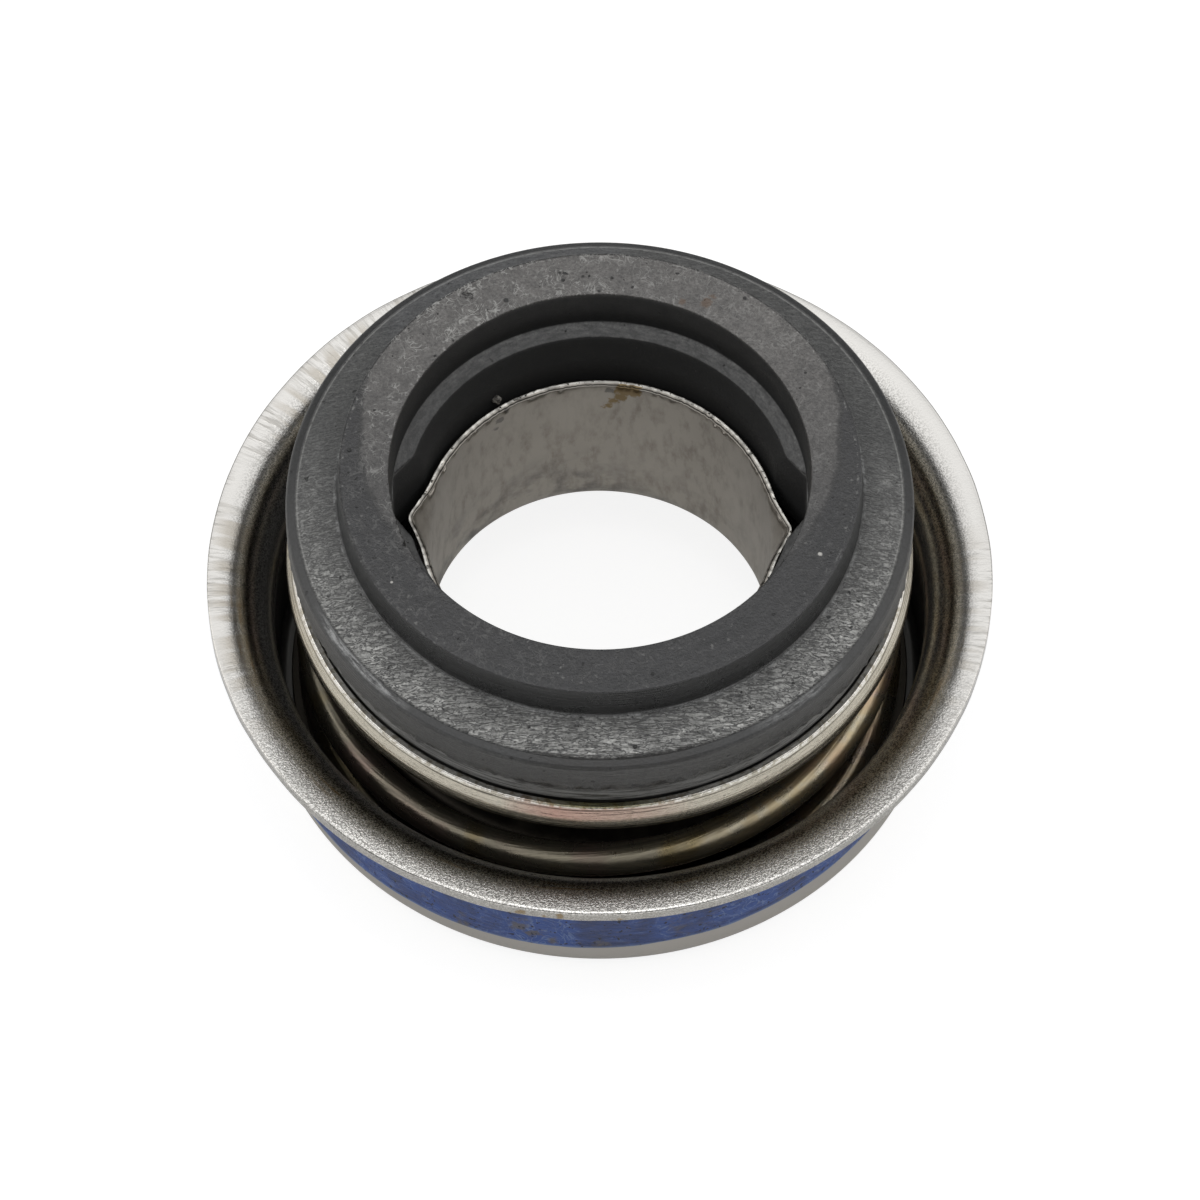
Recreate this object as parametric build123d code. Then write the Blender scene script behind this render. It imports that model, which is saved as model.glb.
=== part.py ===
import os
from math import atan2, cos, degrees, hypot, radians, sin, tan

from build123d import *

# Water pump seal, in millimetres, +Z along the shaft towards the carbon sealing face.
# Z = 0 is the flat underside of the case. Radii build up outwards from the shaft bore and
# heights upwards from the underside, so each piece follows the ones that it fits.

# Case: one deep-drawn stainless sheet with flange, wall, raised floor and inner tube
tube_bore_r = 7.02
tube_t = 0.3
sheet_t = 0.6
case_h = 8.04
bell_r = 2.4
rim_flat = 0.31
corner_r = 1.0
floor_rise = 2.3
riser_foot_r = 0.9
riser_top_r = 0.4
mouth_r = 1.6
neck_r = 0.9

# Drive lugs punched outwards in the rim of the tube
lug_reach = 0.53
lug_t = 0.2
lug_half_width = 2.14
lug_tip_r = 1.05
lug_root = 0.85
lug_h = 2.55
lug_sink = 0.15

# Sealant coat on the press-fit wall
film_t = 0.05
bare_band = 1.25
bare_band_tilt = 0.45

# Rubber bellows
rubber_t = 0.75
foot_t = 1.0
sleeve_h = 3.4
fold_h = 1.8
throat_h = 1.8
fold_reach = 1.33
fold_r = 0.9
cup_wall_t = 0.55
cup_floor_t = 0.78
cup_lip = 0.46

# Coil spring
wire_d = 1.4
active_pitch = 3.9
dead_turns = 0.6
top_turn_in = 0.62
draw_in_turns = 0.6
coil_start_angle = 100.15

# Spring seat and retainer ring
seat_t = 0.4
seat_rim = 0.3
ring_t = 0.3
ring_h = 1.68
ring_toe = 0.6
ring_rim = 0.28
ring_lip_in = 0.35
ring_roll_r = 0.62
ring_neck_r = 0.9

# Carbon ring
carbon_h = 6.0
face_w = 2.02
nose_h = 1.55
nose_root_r = 0.15
ledge_w = 0.72
ledge_depth = 1.9
ledge_fall = 0.18
taper_h = 1.5
rim_band = 0.43
rim_band_fall = 0.08
shoulder_fall = 0.58
wall_drop = 3.9
carbon_lip = 0.74
notch_floor_half_width = 0.95
notch_mouth = 0.42

# Clearances
travel = 2.5
stop_gap = 0.1
sleeve_gap = 0.1
fold_gap = 1.1
coil_side_gap = 0.2
coil_end_gap = 0.1
head_gap = 0.61
hat_gap = 0.1
hat_hole_gap = 0.45
foot_side_gap = 0.4
seat_gap = 0.05
squeeze = 0.02
carbon_gap = 0.5
lug_tip_gap = 0.55
lug_side_gap = 0.06
bore_step = 0.07
draft = 0.22
edge_break = 0.08

# Radii that follow, from the shaft outwards
tube_r = tube_bore_r + tube_t
sleeve_r = tube_r + sleeve_gap
fold_top_r = sleeve_r + fold_reach
ring_bore_r = fold_top_r + rubber_t + fold_gap
coil_in_r = ring_bore_r + ring_toe
coil_r = coil_in_r + wire_d / 2
coil_out_r = coil_in_r + wire_d
ring_r = coil_out_r + ring_rim
seat_r = coil_out_r + seat_rim
wall_in_r = ring_r + head_gap
wall_r = wall_in_r + sheet_t
flange_r = wall_r + bell_r - sheet_t + rim_flat
hat_r = coil_in_r - coil_side_gap - seat_t
riser_r = hat_r - hat_gap - sheet_t
cup_r = ring_r - ring_t - squeeze
cup_neck_r = cup_r - ring_lip_in
spigot_r = ring_r - ring_t - cup_wall_t
carbon_r = spigot_r + carbon_lip
shoulder_r = carbon_r - rim_band
ledge_bore_r = tube_r + carbon_gap
bore_r = ledge_bore_r + ledge_w
nose_r = bore_r + face_w
notch_floor_r = tube_r + lug_reach + lug_tip_gap
notch_half_width = lug_half_width + lug_side_gap

# Heights that follow, from the underside upwards
foot_z = floor_rise + sheet_t + seat_gap
foot_top_z = foot_z + foot_t - 2 * seat_gap
hat_top_z = floor_rise + sheet_t + foot_t + seat_t
fold_low_z = foot_z + sleeve_h
fold_high_z = fold_low_z + fold_h
head_base_z = fold_high_z + throat_h
ring_z = head_base_z - cup_floor_t - ring_t - seat_gap
ring_mid_z = ring_z + 0.55 * ring_h
ring_top_z = ring_z + ring_h
face_z = head_base_z + carbon_h
nose_foot_z = face_z - nose_h
shoulder_z = nose_foot_z - shoulder_fall
wall_low_z = face_z - wall_drop
ledge_z = face_z - ledge_depth
tube_top_z = ledge_z - travel - stop_gap
lug_foot_z = tube_top_z - lug_h
wire_low_z = sheet_t + seat_t + wire_d / 2
wire_high_z = ring_z - coil_end_gap - wire_d / 2


def outline(corners):
    """Closed face in the XZ plane from (radius, height, rounding) points."""
    # where each rounding starts, passes and ends; a sharp corner starts and ends on itself
    arcs = []
    for i, (x, z, r) in enumerate(corners):
        px, pz, _ = corners[i - 1]
        nx, nz, _ = corners[(i + 1) % len(corners)]
        if r <= 0:
            arcs.append(((x, 0, z), None, (x, 0, z)))
            continue
        la, lb = hypot(px - x, pz - z), hypot(nx - x, nz - z)
        ax, az, bx, bz = (px - x) / la, (pz - z) / la, (nx - x) / lb, (nz - z) / lb
        half = 0.5 * atan2(abs(ax * bz - az * bx), ax * bx + az * bz)
        reach, deep = r / tan(half), r / sin(half) - r
        mid = hypot(ax + bx, az + bz)
        arcs.append((
            (x + ax * reach, 0, z + az * reach),
            (x + (ax + bx) * deep / mid, 0, z + (az + bz) * deep / mid),
            (x + bx * reach, 0, z + bz * reach),
        ))
    edges = []
    for i, (start, middle, end) in enumerate(arcs):
        if middle:
            edges.append(ThreePointArc(start, middle, end))
        following = arcs[(i + 1) % len(arcs)][0]
        if hypot(end[0] - following[0], end[2] - following[2]) > 1e-6:
            edges.append(Line(end, following))
    return make_face(edges)


def turned(corners):
    return revolve(outline(corners), Axis.Z, 360)


def level_face(corners, height):
    """Face at one height from (x, y, rounding) points."""
    return Plane.XY.offset(height) * Plane.XZ.to_local_coords(outline(corners))


# Case
case = turned([
    (flange_r, case_h - sheet_t, edge_break),
    (wall_r, case_h - sheet_t, bell_r - sheet_t),
    (wall_r, 0, corner_r),
    (riser_r, 0, riser_foot_r),
    (riser_r, floor_rise, riser_top_r),
    (tube_bore_r, floor_rise, mouth_r),
    (tube_bore_r, tube_top_z, 0),
    (tube_r, tube_top_z, 0),
    (tube_r, floor_rise + sheet_t, neck_r),
    (riser_r + sheet_t, floor_rise + sheet_t, riser_top_r + sheet_t),
    (riser_r + sheet_t, sheet_t, riser_foot_r - sheet_t),
    (wall_in_r, sheet_t, corner_r - sheet_t),
    (wall_in_r, case_h, bell_r),
    (flange_r, case_h, edge_break),
])


def lug(inset, side):
    """Rounded V bulge that leans inwards towards its foot, thinned by inset."""
    start_x = (tube_r**2 - lug_half_width**2) ** 0.5
    # the rounding of the tip takes back a little of the reach
    apex = tube_r + lug_reach
    for _ in range(20):
        half = atan2(lug_half_width, apex - start_x)
        apex = tube_r + lug_reach + lug_tip_r * (1 / sin(half) - 1)
    apex -= inset / sin(half)
    root_x = tube_r - lug_root - inset
    root_y = (apex - root_x) * tan(half)
    top = [
        (side * apex, 0, lug_tip_r - inset),
        (side * root_x, root_y, 0),
        (side * (root_x - lug_root), root_y, 0),
        (side * (root_x - lug_root), -root_y, 0),
        (side * root_x, -root_y, 0),
    ]
    lean = side * (lug_reach + lug_sink)
    foot = [(x - lean, y, r) for x, y, r in top]
    return loft([level_face(foot, lug_foot_z), level_face(top, tube_top_z)])


for side in (1, -1):
    case += lug(0, side)
mouth_top_z = floor_rise + mouth_r
case -= Pos(0, 0, mouth_top_z) * Cylinder(
    tube_bore_r, tube_top_z - mouth_top_z + 1, align=(Align.CENTER, Align.CENTER, Align.MIN))
for side in (1, -1):
    case -= lug(lug_t, side)

# Sealant coat: its lower edge runs slightly out of level round the wall
film_top_z = case_h - bell_r
film = Pos(0, 0, film_top_z / 2) * (
    Cylinder(wall_r + film_t, film_top_z) - Cylinder(wall_r, film_top_z + 1))
slope = degrees(atan2(bare_band_tilt, wall_r))
bare = Pos(0, 0, bare_band) * Rot(0, -slope, 0) * Box(
    4 * wall_r, 4 * wall_r, 4 * case_h, align=(Align.CENTER, Align.CENTER, Align.MAX))
sealant_band = film - bare

# Carbon ring: nose with the sealing face, sloped shoulder, ledge in the bore, spigot in the cup
carbon_ring = turned([
    (bore_r, face_z, edge_break),
    (nose_r, face_z, edge_break),
    (nose_r + edge_break, nose_foot_z, nose_root_r),
    (shoulder_r, shoulder_z, edge_break / 2),
    (carbon_r, shoulder_z - rim_band_fall, 2 * edge_break),
    (carbon_r, wall_low_z, edge_break / 2),
    (spigot_r, wall_low_z, 0),
    (spigot_r, head_base_z, 2 * edge_break),
    (ledge_bore_r - draft, head_base_z, edge_break),
    (ledge_bore_r - draft, ledge_z - taper_h, draft),
    (ledge_bore_r, ledge_z - ledge_fall, edge_break),
    (bore_r - bore_step, ledge_z, edge_break),
])
mouth_r_in = ledge_bore_r - notch_mouth
for side in (1, -1):
    notch = level_face([
        (side * (mouth_r_in - notch_half_width / 2), notch_half_width, 0),
        (side * mouth_r_in, notch_half_width, 0),
        (side * notch_floor_r, notch_floor_half_width, notch_mouth),
        (side * notch_floor_r, -notch_floor_half_width, notch_mouth),
        (side * mouth_r_in, -notch_half_width, 0),
        (side * (mouth_r_in - notch_half_width / 2), -notch_half_width, 0),
    ], head_base_z - 1)
    carbon_ring -= extrude(notch, amount=ledge_z - head_base_z + 1, dir=(0, 0, 1))

# Retainer ring: rolled sheet that holds the rubber cup on the carbon
retainer_ring = turned([
    (ring_r - ring_lip_in, ring_top_z, 0),
    (ring_r, ring_mid_z, ring_neck_r),
    (ring_r, ring_z, ring_roll_r),
    (ring_bore_r, ring_z, 0),
    (ring_bore_r, ring_z + ring_t, 0),
    (ring_r - ring_t, ring_z + ring_t, ring_roll_r - ring_t),
    (ring_r - ring_t, ring_mid_z, ring_neck_r - ring_t),
    (ring_r - ring_lip_in - ring_t, ring_top_z, 0),
])

# Rubber bellows: cup under the carbon, folded wall, foot clamped round the tube
bellows = turned([
    (sleeve_r, foot_z, neck_r + sleeve_gap + seat_gap),
    (sleeve_r, fold_low_z, fold_r),
    (fold_top_r, fold_high_z, fold_r),
    (fold_top_r, head_base_z, edge_break),
    (spigot_r, head_base_z, 2 * edge_break),
    (spigot_r, wall_low_z, 0),
    (spigot_r + cup_lip, wall_low_z, edge_break),
    (cup_neck_r, ring_top_z, 0),
    (cup_r, ring_mid_z, ring_neck_r - ring_t - squeeze),
    (cup_r, ring_z + ring_t, ring_roll_r - ring_t + squeeze),
    (fold_top_r + rubber_t, ring_z + ring_t, ring_t),
    (fold_top_r + rubber_t, fold_high_z - ring_t, fold_r),
    (sleeve_r + rubber_t, fold_low_z - ring_t, fold_r),
    (sleeve_r + rubber_t, foot_top_z, ring_t),
    (riser_r - foot_side_gap, foot_top_z, edge_break),
    (riser_r - foot_side_gap, foot_z, edge_break),
])

# Spring seat: hat-shaped ring that holds the bellows foot down on the raised floor
hat_hole_r = sleeve_r + rubber_t + hat_hole_gap
spring_seat = turned([
    (seat_r, sheet_t, 0),
    (hat_r, sheet_t, riser_top_r),
    (hat_r, hat_top_z - seat_t, riser_top_r / 2),
    (hat_hole_r, hat_top_z - seat_t, 0),
    (hat_hole_r, hat_top_z, 0),
    (hat_r + seat_t, hat_top_z, riser_top_r / 2 + seat_t),
    (hat_r + seat_t, sheet_t + seat_t, edge_break),
    (seat_r, sheet_t + seat_t, 0),
])

# Coil spring: right-hand, closed ends lying flat on the seat and under the ring, with the top
# turn drawn in behind the ring's rolled edge
rise_turns = (wire_high_z - wire_low_z) / active_pitch
turns = rise_turns + 2 * dead_turns
bend_turns = 0.08


def wire_height(turn):
    """Height of the wire centre after a number of turns from the lower end."""
    run = turn - dead_turns
    left = rise_turns - run
    if run <= -bend_turns:
        return wire_low_z
    if left <= -bend_turns:
        return wire_high_z
    if run < bend_turns:
        return wire_low_z + active_pitch * (run + bend_turns) ** 2 / (4 * bend_turns)
    if left < bend_turns:
        return wire_high_z - active_pitch * (left + bend_turns) ** 2 / (4 * bend_turns)
    return wire_low_z + active_pitch * run


def wire_radius(turn):
    """Radius of the wire centre, eased from the full coil to the narrower top turn."""
    share = min(max((turn - dead_turns - rise_turns) / draw_in_turns + 1, 0), 1)
    return coil_r - top_turn_in * share**2 * (3 - 2 * share)


steps = 14 * round(turns + 0.5)
centres = []
for i in range(steps + 1):
    turn = turns * i / steps
    angle = radians(coil_start_angle + 360 * turn)
    radius = wire_radius(turn)
    centres.append((radius * cos(angle), radius * sin(angle), wire_height(turn)))
wire_path = Spline(centres)
wire_end = Plane(origin=wire_path @ 0, z_dir=wire_path % 0) * Circle(wire_d / 2)
coil_spring = sweep(wire_end, path=wire_path)

pieces = {
    "case": case,
    "sealant_band": sealant_band,
    "carbon_ring": carbon_ring,
    "retainer_ring": retainer_ring,
    "bellows": bellows,
    "spring_seat": spring_seat,
    "coil_spring": coil_spring,
}
os.makedirs("parts", exist_ok=True)
for name, piece in pieces.items():
    solids = piece.solids()
    solid = solids[0] if len(solids) == 1 else Compound(children=solids)
    export_step(solid, f"parts/{name}.step")
    size = solid.bounding_box().size
    print(name, len(solids), round(solid.volume, 2), [round(v, 2) for v in size])
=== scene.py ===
import math
from functools import partial

import bpy
import numpy as np
from mathutils import Matrix, Vector


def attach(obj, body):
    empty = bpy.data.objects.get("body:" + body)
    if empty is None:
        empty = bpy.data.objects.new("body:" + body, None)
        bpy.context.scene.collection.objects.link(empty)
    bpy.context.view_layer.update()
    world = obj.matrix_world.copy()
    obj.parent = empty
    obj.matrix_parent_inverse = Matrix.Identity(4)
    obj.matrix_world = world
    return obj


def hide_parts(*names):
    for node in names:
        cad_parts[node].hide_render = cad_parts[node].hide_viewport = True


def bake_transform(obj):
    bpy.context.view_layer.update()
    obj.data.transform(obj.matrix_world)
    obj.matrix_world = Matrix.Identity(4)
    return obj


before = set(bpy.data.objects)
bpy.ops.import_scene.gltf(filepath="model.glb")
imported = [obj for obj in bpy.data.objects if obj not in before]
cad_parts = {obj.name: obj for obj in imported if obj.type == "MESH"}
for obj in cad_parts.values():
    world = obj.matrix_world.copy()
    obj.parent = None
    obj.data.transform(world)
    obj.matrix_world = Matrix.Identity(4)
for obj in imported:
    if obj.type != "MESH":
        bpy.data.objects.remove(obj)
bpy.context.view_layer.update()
print("frame loaded:", sorted(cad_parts))

# Lengths below are in millimetres; the meshes are written in metres.
millimetre = 0.001


def roundedOutline(corners, arcSteps=8, longest=0.35):
    # closed profile of (radius, height) points: each corner (r, z, rounding) is replaced by
    # the arc that touches both its sides, and straight stretches are cut no longer than longest
    pts = np.array([c[:2] for c in corners], float)
    rounding = np.array([c[2] for c in corners], float)
    toLast = np.roll(pts, 1, 0) - pts
    toNext = np.roll(pts, -1, 0) - pts
    toLast /= np.linalg.norm(toLast, axis=1)[:, None]
    toNext /= np.linalg.norm(toNext, axis=1)[:, None]
    half = 0.5 * np.arccos(np.clip((toLast * toNext).sum(1), -1, 1))
    bisector = toLast + toNext
    bisector /= np.linalg.norm(bisector, axis=1)[:, None]
    out = []
    for p, r, a, b, m, h in zip(pts, rounding, toLast, toNext, bisector, half):
        if r <= 0:
            out.append(p[None])
            continue
        centre = p + m * r / math.sin(h)
        first, last = p + a * r / math.tan(h) - centre, p + b * r / math.tan(h) - centre
        sweep = math.atan2(first[0] * last[1] - first[1] * last[0], first @ last)
        t = np.linspace(0, sweep, arcSteps + 1)
        out.append(centre + np.stack([first[0] * np.cos(t) - first[1] * np.sin(t),
                                      first[0] * np.sin(t) + first[1] * np.cos(t)], 1))
    line = np.concatenate(out)
    keep = np.linalg.norm(line - np.roll(line, 1, 0), axis=1) > 1e-5
    line = line[keep]
    gaps = np.linalg.norm(np.roll(line, -1, 0) - line, axis=1)
    cuts = np.maximum(1, np.ceil(gaps / longest).astype(int))
    start = np.repeat(np.arange(len(line)), cuts)
    part = (np.arange(cuts.sum()) - np.repeat(np.cumsum(cuts) - cuts, cuts)) / np.repeat(cuts, cuts)
    return line[start] + (np.roll(line, -1, 0)[start] - line[start]) * part[:, None]


def gridMesh(name, points, closeAcross=True):
    # grid of points [around, along]: joined end to end around, and along too unless told not to
    around, along = points.shape[:2]
    i, j = np.meshgrid(np.arange(around), np.arange(along if closeAcross else along - 1), indexing="ij")
    nextI, nextJ = (i + 1) % around, (j + 1) % along
    quads = np.stack([i * along + j, nextI * along + j, nextI * along + nextJ, i * along + nextJ], -1)
    return meshFrom(name, points.reshape(-1, 3), quads.reshape(-1, 4))


def meshFrom(name, vertices, quads):
    # mesh object of smooth quads, from vertex places in millimetres
    mesh = bpy.data.meshes.new(name)
    mesh.vertices.add(len(vertices))
    mesh.vertices.foreach_set("co", (vertices * millimetre).astype(np.float32).ravel())
    mesh.loops.add(quads.size)
    mesh.loops.foreach_set("vertex_index", quads.astype(np.int32).ravel())
    mesh.polygons.add(len(quads))
    mesh.polygons.foreach_set("loop_start", np.arange(0, quads.size, 4, dtype=np.int32))
    mesh.polygons.foreach_set("use_smooth", np.ones(len(quads), bool))
    mesh.update(calc_edges=True)
    mesh.validate()
    obj = bpy.data.objects.new(name, mesh)
    bpy.context.scene.collection.objects.link(obj)
    return obj


def turnedPoints(profile, angles, shape=None):
    # surface of revolution: (r cos a, r sin a, z), after shape has moved r and z as it likes
    r = np.repeat(profile[None, :, 0], len(angles), 0)
    z = np.repeat(profile[None, :, 1], len(angles), 0)
    a = np.repeat(angles[:, None], profile.shape[0], 1)
    if shape:
        r, z = shape(r, z, a)
    return np.stack([r * np.cos(a), r * np.sin(a), z], -1)


def outwardProfile(profile):
    # the loop runs so that faces of the revolved grid point out of the metal
    x, z = profile[:, 0], profile[:, 1]
    area = (x * np.roll(z, -1) - np.roll(x, -1) * z).sum()
    return profile if area > 0 else profile[::-1]


def ripple(a, seed, lowest, highest, slope=1.0):
    # even random wave round the circle: sines of whole-number counts, quieter as they get finer
    rng = np.random.default_rng(seed)
    counts = np.arange(lowest, highest + 1)
    sizes = (lowest / counts) ** slope * rng.uniform(0.4, 1.0, len(counts))
    phases = rng.uniform(0, 2 * np.pi, len(counts))
    flat = np.unique(a)
    total = (sizes[:, None] * np.sin(counts[:, None] * flat[None] + phases[:, None])).sum(0)
    total /= np.sqrt((sizes**2).sum() / 2)
    return total[np.searchsorted(flat, a)]


def smoothStep(low, high, v):
    # 0 below low, 1 above high, and t^2 (3 - 2t) between them
    t = np.clip((v - low) / (high - low), 0, 1)
    return t * t * (3 - 2 * t)


def softMax(a, b, width):
    # the larger of a and b with a rounded corner: half of a + b + sqrt((a - b)^2 + width^2)
    return 0.5 * (a + b + np.sqrt((a - b) ** 2 + width**2))


# steps round the axis that every turned piece shares
evenAngles = np.linspace(-np.pi, np.pi, 432, endpoint=False)


# Case: one deep-drawn sheet with flange, wall, floor and inner tube.
case = {
    "flangeRadius": 16.2, "wallRadius": 14.09, "sheet": 0.6, "height": 8.04, "bellRadius": 2.4,
    "cornerRadius": 1.0, "riserRadius": 9.9, "floorRise": 2.3, "tubeBore": 7.02, "tubeSheet": 0.3,
    "tubeTop": 11.45, "mouthRadius": 1.6, "neckRadius": 0.9,
    "lugReach": 0.53, "lugHalfWidth": 1.45, "lugTip": 0.6, "lugRoot": 0.12, "lugFoot": 8.9, "lugSheet": 0.2,
    # how far the left lug is bent to the back (radians), and how hollow the flanks' feet are
    "leftLugTurn": 0.075, "lugHollow": 6.0,
    "rimBurr": 0.02, "tubeBurr": 0.012,
}


def lugOutline(a, z, inset):
    # polar radius of the rounded V of a lug: straight flanks A sin(h) / sin(h + a), and near its
    # tip the circle c cos(a) + sqrt(q^2 - c^2 sin(a)^2); it leans inwards towards its foot
    tube = case["tubeBore"] + case["tubeSheet"]
    startX = math.sqrt(tube**2 - case["lugHalfWidth"] ** 2)
    apex = tube + case["lugReach"]
    for _ in range(20):
        half = math.atan2(case["lugHalfWidth"], apex - startX)
        apex = tube + case["lugReach"] + case["lugTip"] * (1 / math.sin(half) - 1)
    apex -= inset / math.sin(half)
    tip = case["lugTip"] - inset
    lean = (case["lugReach"] + 0.15) * (case["tubeTop"] - z) / (case["tubeTop"] - case["lugFoot"])
    centreAngle = np.where(np.cos(a) < 0, math.pi - case["leftLugTurn"], 0.0)
    away = np.abs((a - centreAngle + math.pi) % (2 * math.pi) - math.pi)
    reach = apex - lean
    flank = reach * math.sin(half) / np.sin(half + away)
    flank = flank - case["lugHollow"] * np.maximum(away - 0.3, 0) ** 2
    centre = reach - tip / math.sin(half)
    cap = centre * np.cos(away) + np.sqrt(np.maximum(tip**2 - (centre * np.sin(away)) ** 2, 0))
    turn = np.arctan2(tip * math.cos(half), centre + tip * math.sin(half))
    return np.where(away < turn, cap, np.where(away < 0.5, flank, 0))


def caseShape(r, z, a):
    # the tube bulges into the lugs, its cut rim is torn, and the flange's rim is a touch out of true
    tube = case["tubeBore"] + case["tubeSheet"]
    onTube = (r < tube + 0.02) & (z > 5.0)
    depth = np.clip((tube - r) / case["tubeSheet"], 0, 1)  # 0 on the outside, 1 in the bore
    inner = softMax(case["tubeBore"] + 0 * r, lugOutline(a, z, case["lugSheet"]), case["lugRoot"])
    outer = softMax(tube + 0 * r, lugOutline(a, z, 0), case["lugRoot"])
    r = np.where(onTube, outer * (1 - depth) + inner * depth, r)
    # raw cut edge of the tube: torn level, lower towards the bore
    nearCut = smoothStep(case["tubeTop"] - 0.12, case["tubeTop"] - 0.02, z) * onTube
    z = z - nearCut * case["tubeBurr"] * (1.2 + ripple(a, 3, 30, 200, 0.15))
    z = z - nearCut * case["tubeBurr"] * depth * (4.5 + 2 * ripple(a, 4, 12, 200, 0.3))
    # pressed flange: rim a touch out of true, with a dragged edge
    nearRim = smoothStep(case["flangeRadius"] - 0.5, case["flangeRadius"], r)
    r = r - nearRim * case["rimBurr"] * (1.0 + 0.6 * ripple(a, 5, 2, 60, 0.8))
    z = z + nearRim * 0.012 * ripple(a, 6, 2, 24, 1.0) * (z > 7)
    return r, z


def caseProfile():
    # corners (radius, height, rounding): under the flange, down the wall, up the tube and back inside
    c = case
    wallIn, tube = c["wallRadius"] - c["sheet"], c["tubeBore"] + c["tubeSheet"]
    s = c["sheet"]
    return roundedOutline([
        (c["flangeRadius"], c["height"] - s, 0.09),
        (c["wallRadius"], c["height"] - s, c["bellRadius"] - s),
        (c["wallRadius"], 0, c["cornerRadius"]),
        (c["riserRadius"], 0, 0.9),
        (c["riserRadius"], c["floorRise"], 0.4),
        (c["tubeBore"], c["floorRise"], c["mouthRadius"]),
        (c["tubeBore"], c["tubeTop"], 0.05),
        (tube, c["tubeTop"], 0.05),
        (tube, c["floorRise"] + s, c["neckRadius"]),
        (c["riserRadius"] + s, c["floorRise"] + s, 1.0),
        (c["riserRadius"] + s, s, 0.3),
        (wallIn, s, c["cornerRadius"] - s),
        (wallIn, c["height"], c["bellRadius"]),
        (c["flangeRadius"], c["height"], 0.07),
    ], 9, 0.4)


caseLine = outwardProfile(caseProfile())
caseObject = gridMesh("case_sheet", turnedPoints(caseLine, evenAngles, caseShape))
# how deep a point lies in the tube's sheet, from its outside (0) to its bore (1), for the torn rim
depth = np.clip((case["tubeBore"] + case["tubeSheet"] - caseLine[:, 0]) / case["tubeSheet"], 0, 1)
depthField = caseObject.data.attributes.new("sheet_depth", "FLOAT", "POINT")
depthField.data.foreach_set("value", np.tile(depth, len(evenAngles)).astype(np.float32))
# which side of the sheet: 1 towards the spring, 0 on the part of the loop that holds the lowest point
rimAt, topAt = np.argmax(caseLine[:, 0]), np.argmax(caseLine[:, 1])
order = np.arange(len(caseLine))
between = (order >= min(rimAt, topAt)) & (order < max(rimAt, topAt))
springSide = ~between if between[np.argmin(caseLine[:, 1])] else between
sideField = caseObject.data.attributes.new("spring_side", "FLOAT", "POINT")
sideField.data.foreach_set("value", np.tile(springSide, len(evenAngles)).astype(np.float32))
print("case:", len(caseObject.data.polygons), "faces")


# Sealant coat on the press-fit wall.
sealant = {"thickness": 0.05, "bareBand": 1.68, "bareTilt": 0.38, "edgeWander": 0.02}


def sealantPoints():
    # thin shell between the wall and the coat; its lower edge follows a tilted, wandering line
    low = (sealant["bareBand"] + sealant["bareTilt"] * np.cos(evenAngles)
           + sealant["edgeWander"] * ripple(evenAngles, 11, 3, 70, 0.8))
    high = case["height"] - case["bellRadius"]
    t = np.concatenate([[0, 0.004, 0.012], np.linspace(0.03, 1, 22)])
    z = low[:, None] + (high - low)[:, None] * t[None]
    edge = np.sqrt(np.clip(t / 0.012, 0, 1))[None]
    wall = case["wallRadius"]
    outer = wall + sealant["thickness"] * edge + 0 * z
    inside = np.full_like(z, wall - 0.02)
    r = np.concatenate([outer, inside[:, ::-1]], 1)
    z = np.concatenate([z, z[:, ::-1]], 1)
    a = evenAngles[:, None]
    return np.stack([r * np.cos(a), r * np.sin(a), z], -1)


sealantObject = gridMesh("sealant_coat", sealantPoints())
print("sealant coat:", len(sealantObject.data.polygons), "faces")


# Carbon ring: nose with the sealing face, shoulder, rim band, wall and inner ledge.
carbon = {
    "face": 15.95, "noseRadius": 10.56, "noseHeight": 1.55, "bore": 8.54, "ledgeDepth": 1.9,
    "ledgeBore": 7.82, "shoulderRadius": 12.34, "shoulderFall": 0.58, "radius": 12.77,
    "wallDrop": 3.9, "height": 6.0, "spigotIn": 0.74, "notchHalfWidth": 2.2, "notchDepth": 0.58,
    "draft": 0.22, "ledgeFall": 0.18,
}


def notchOutline(a):
    # polar radius of the drive notch: flat bottom at x = deep, slanted flanks to the ledge bore
    away = np.minimum(np.abs(a), np.abs(np.abs(a) - np.pi))
    deep = carbon["ledgeBore"] + carbon["notchDepth"]
    p, q = np.array([carbon["ledgeBore"] - 0.42, carbon["notchHalfWidth"]]), np.array([deep, 0.95])
    n = np.array([p[1] - q[1], q[0] - p[0]])
    n /= np.linalg.norm(n)
    flank = (n @ q) / np.maximum(n[0] * np.cos(away) + n[1] * np.sin(away), 1e-3)
    floor = deep / np.cos(np.minimum(away, 1.0))
    return np.where(away < 0.45, np.minimum(floor, flank), 0)


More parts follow.
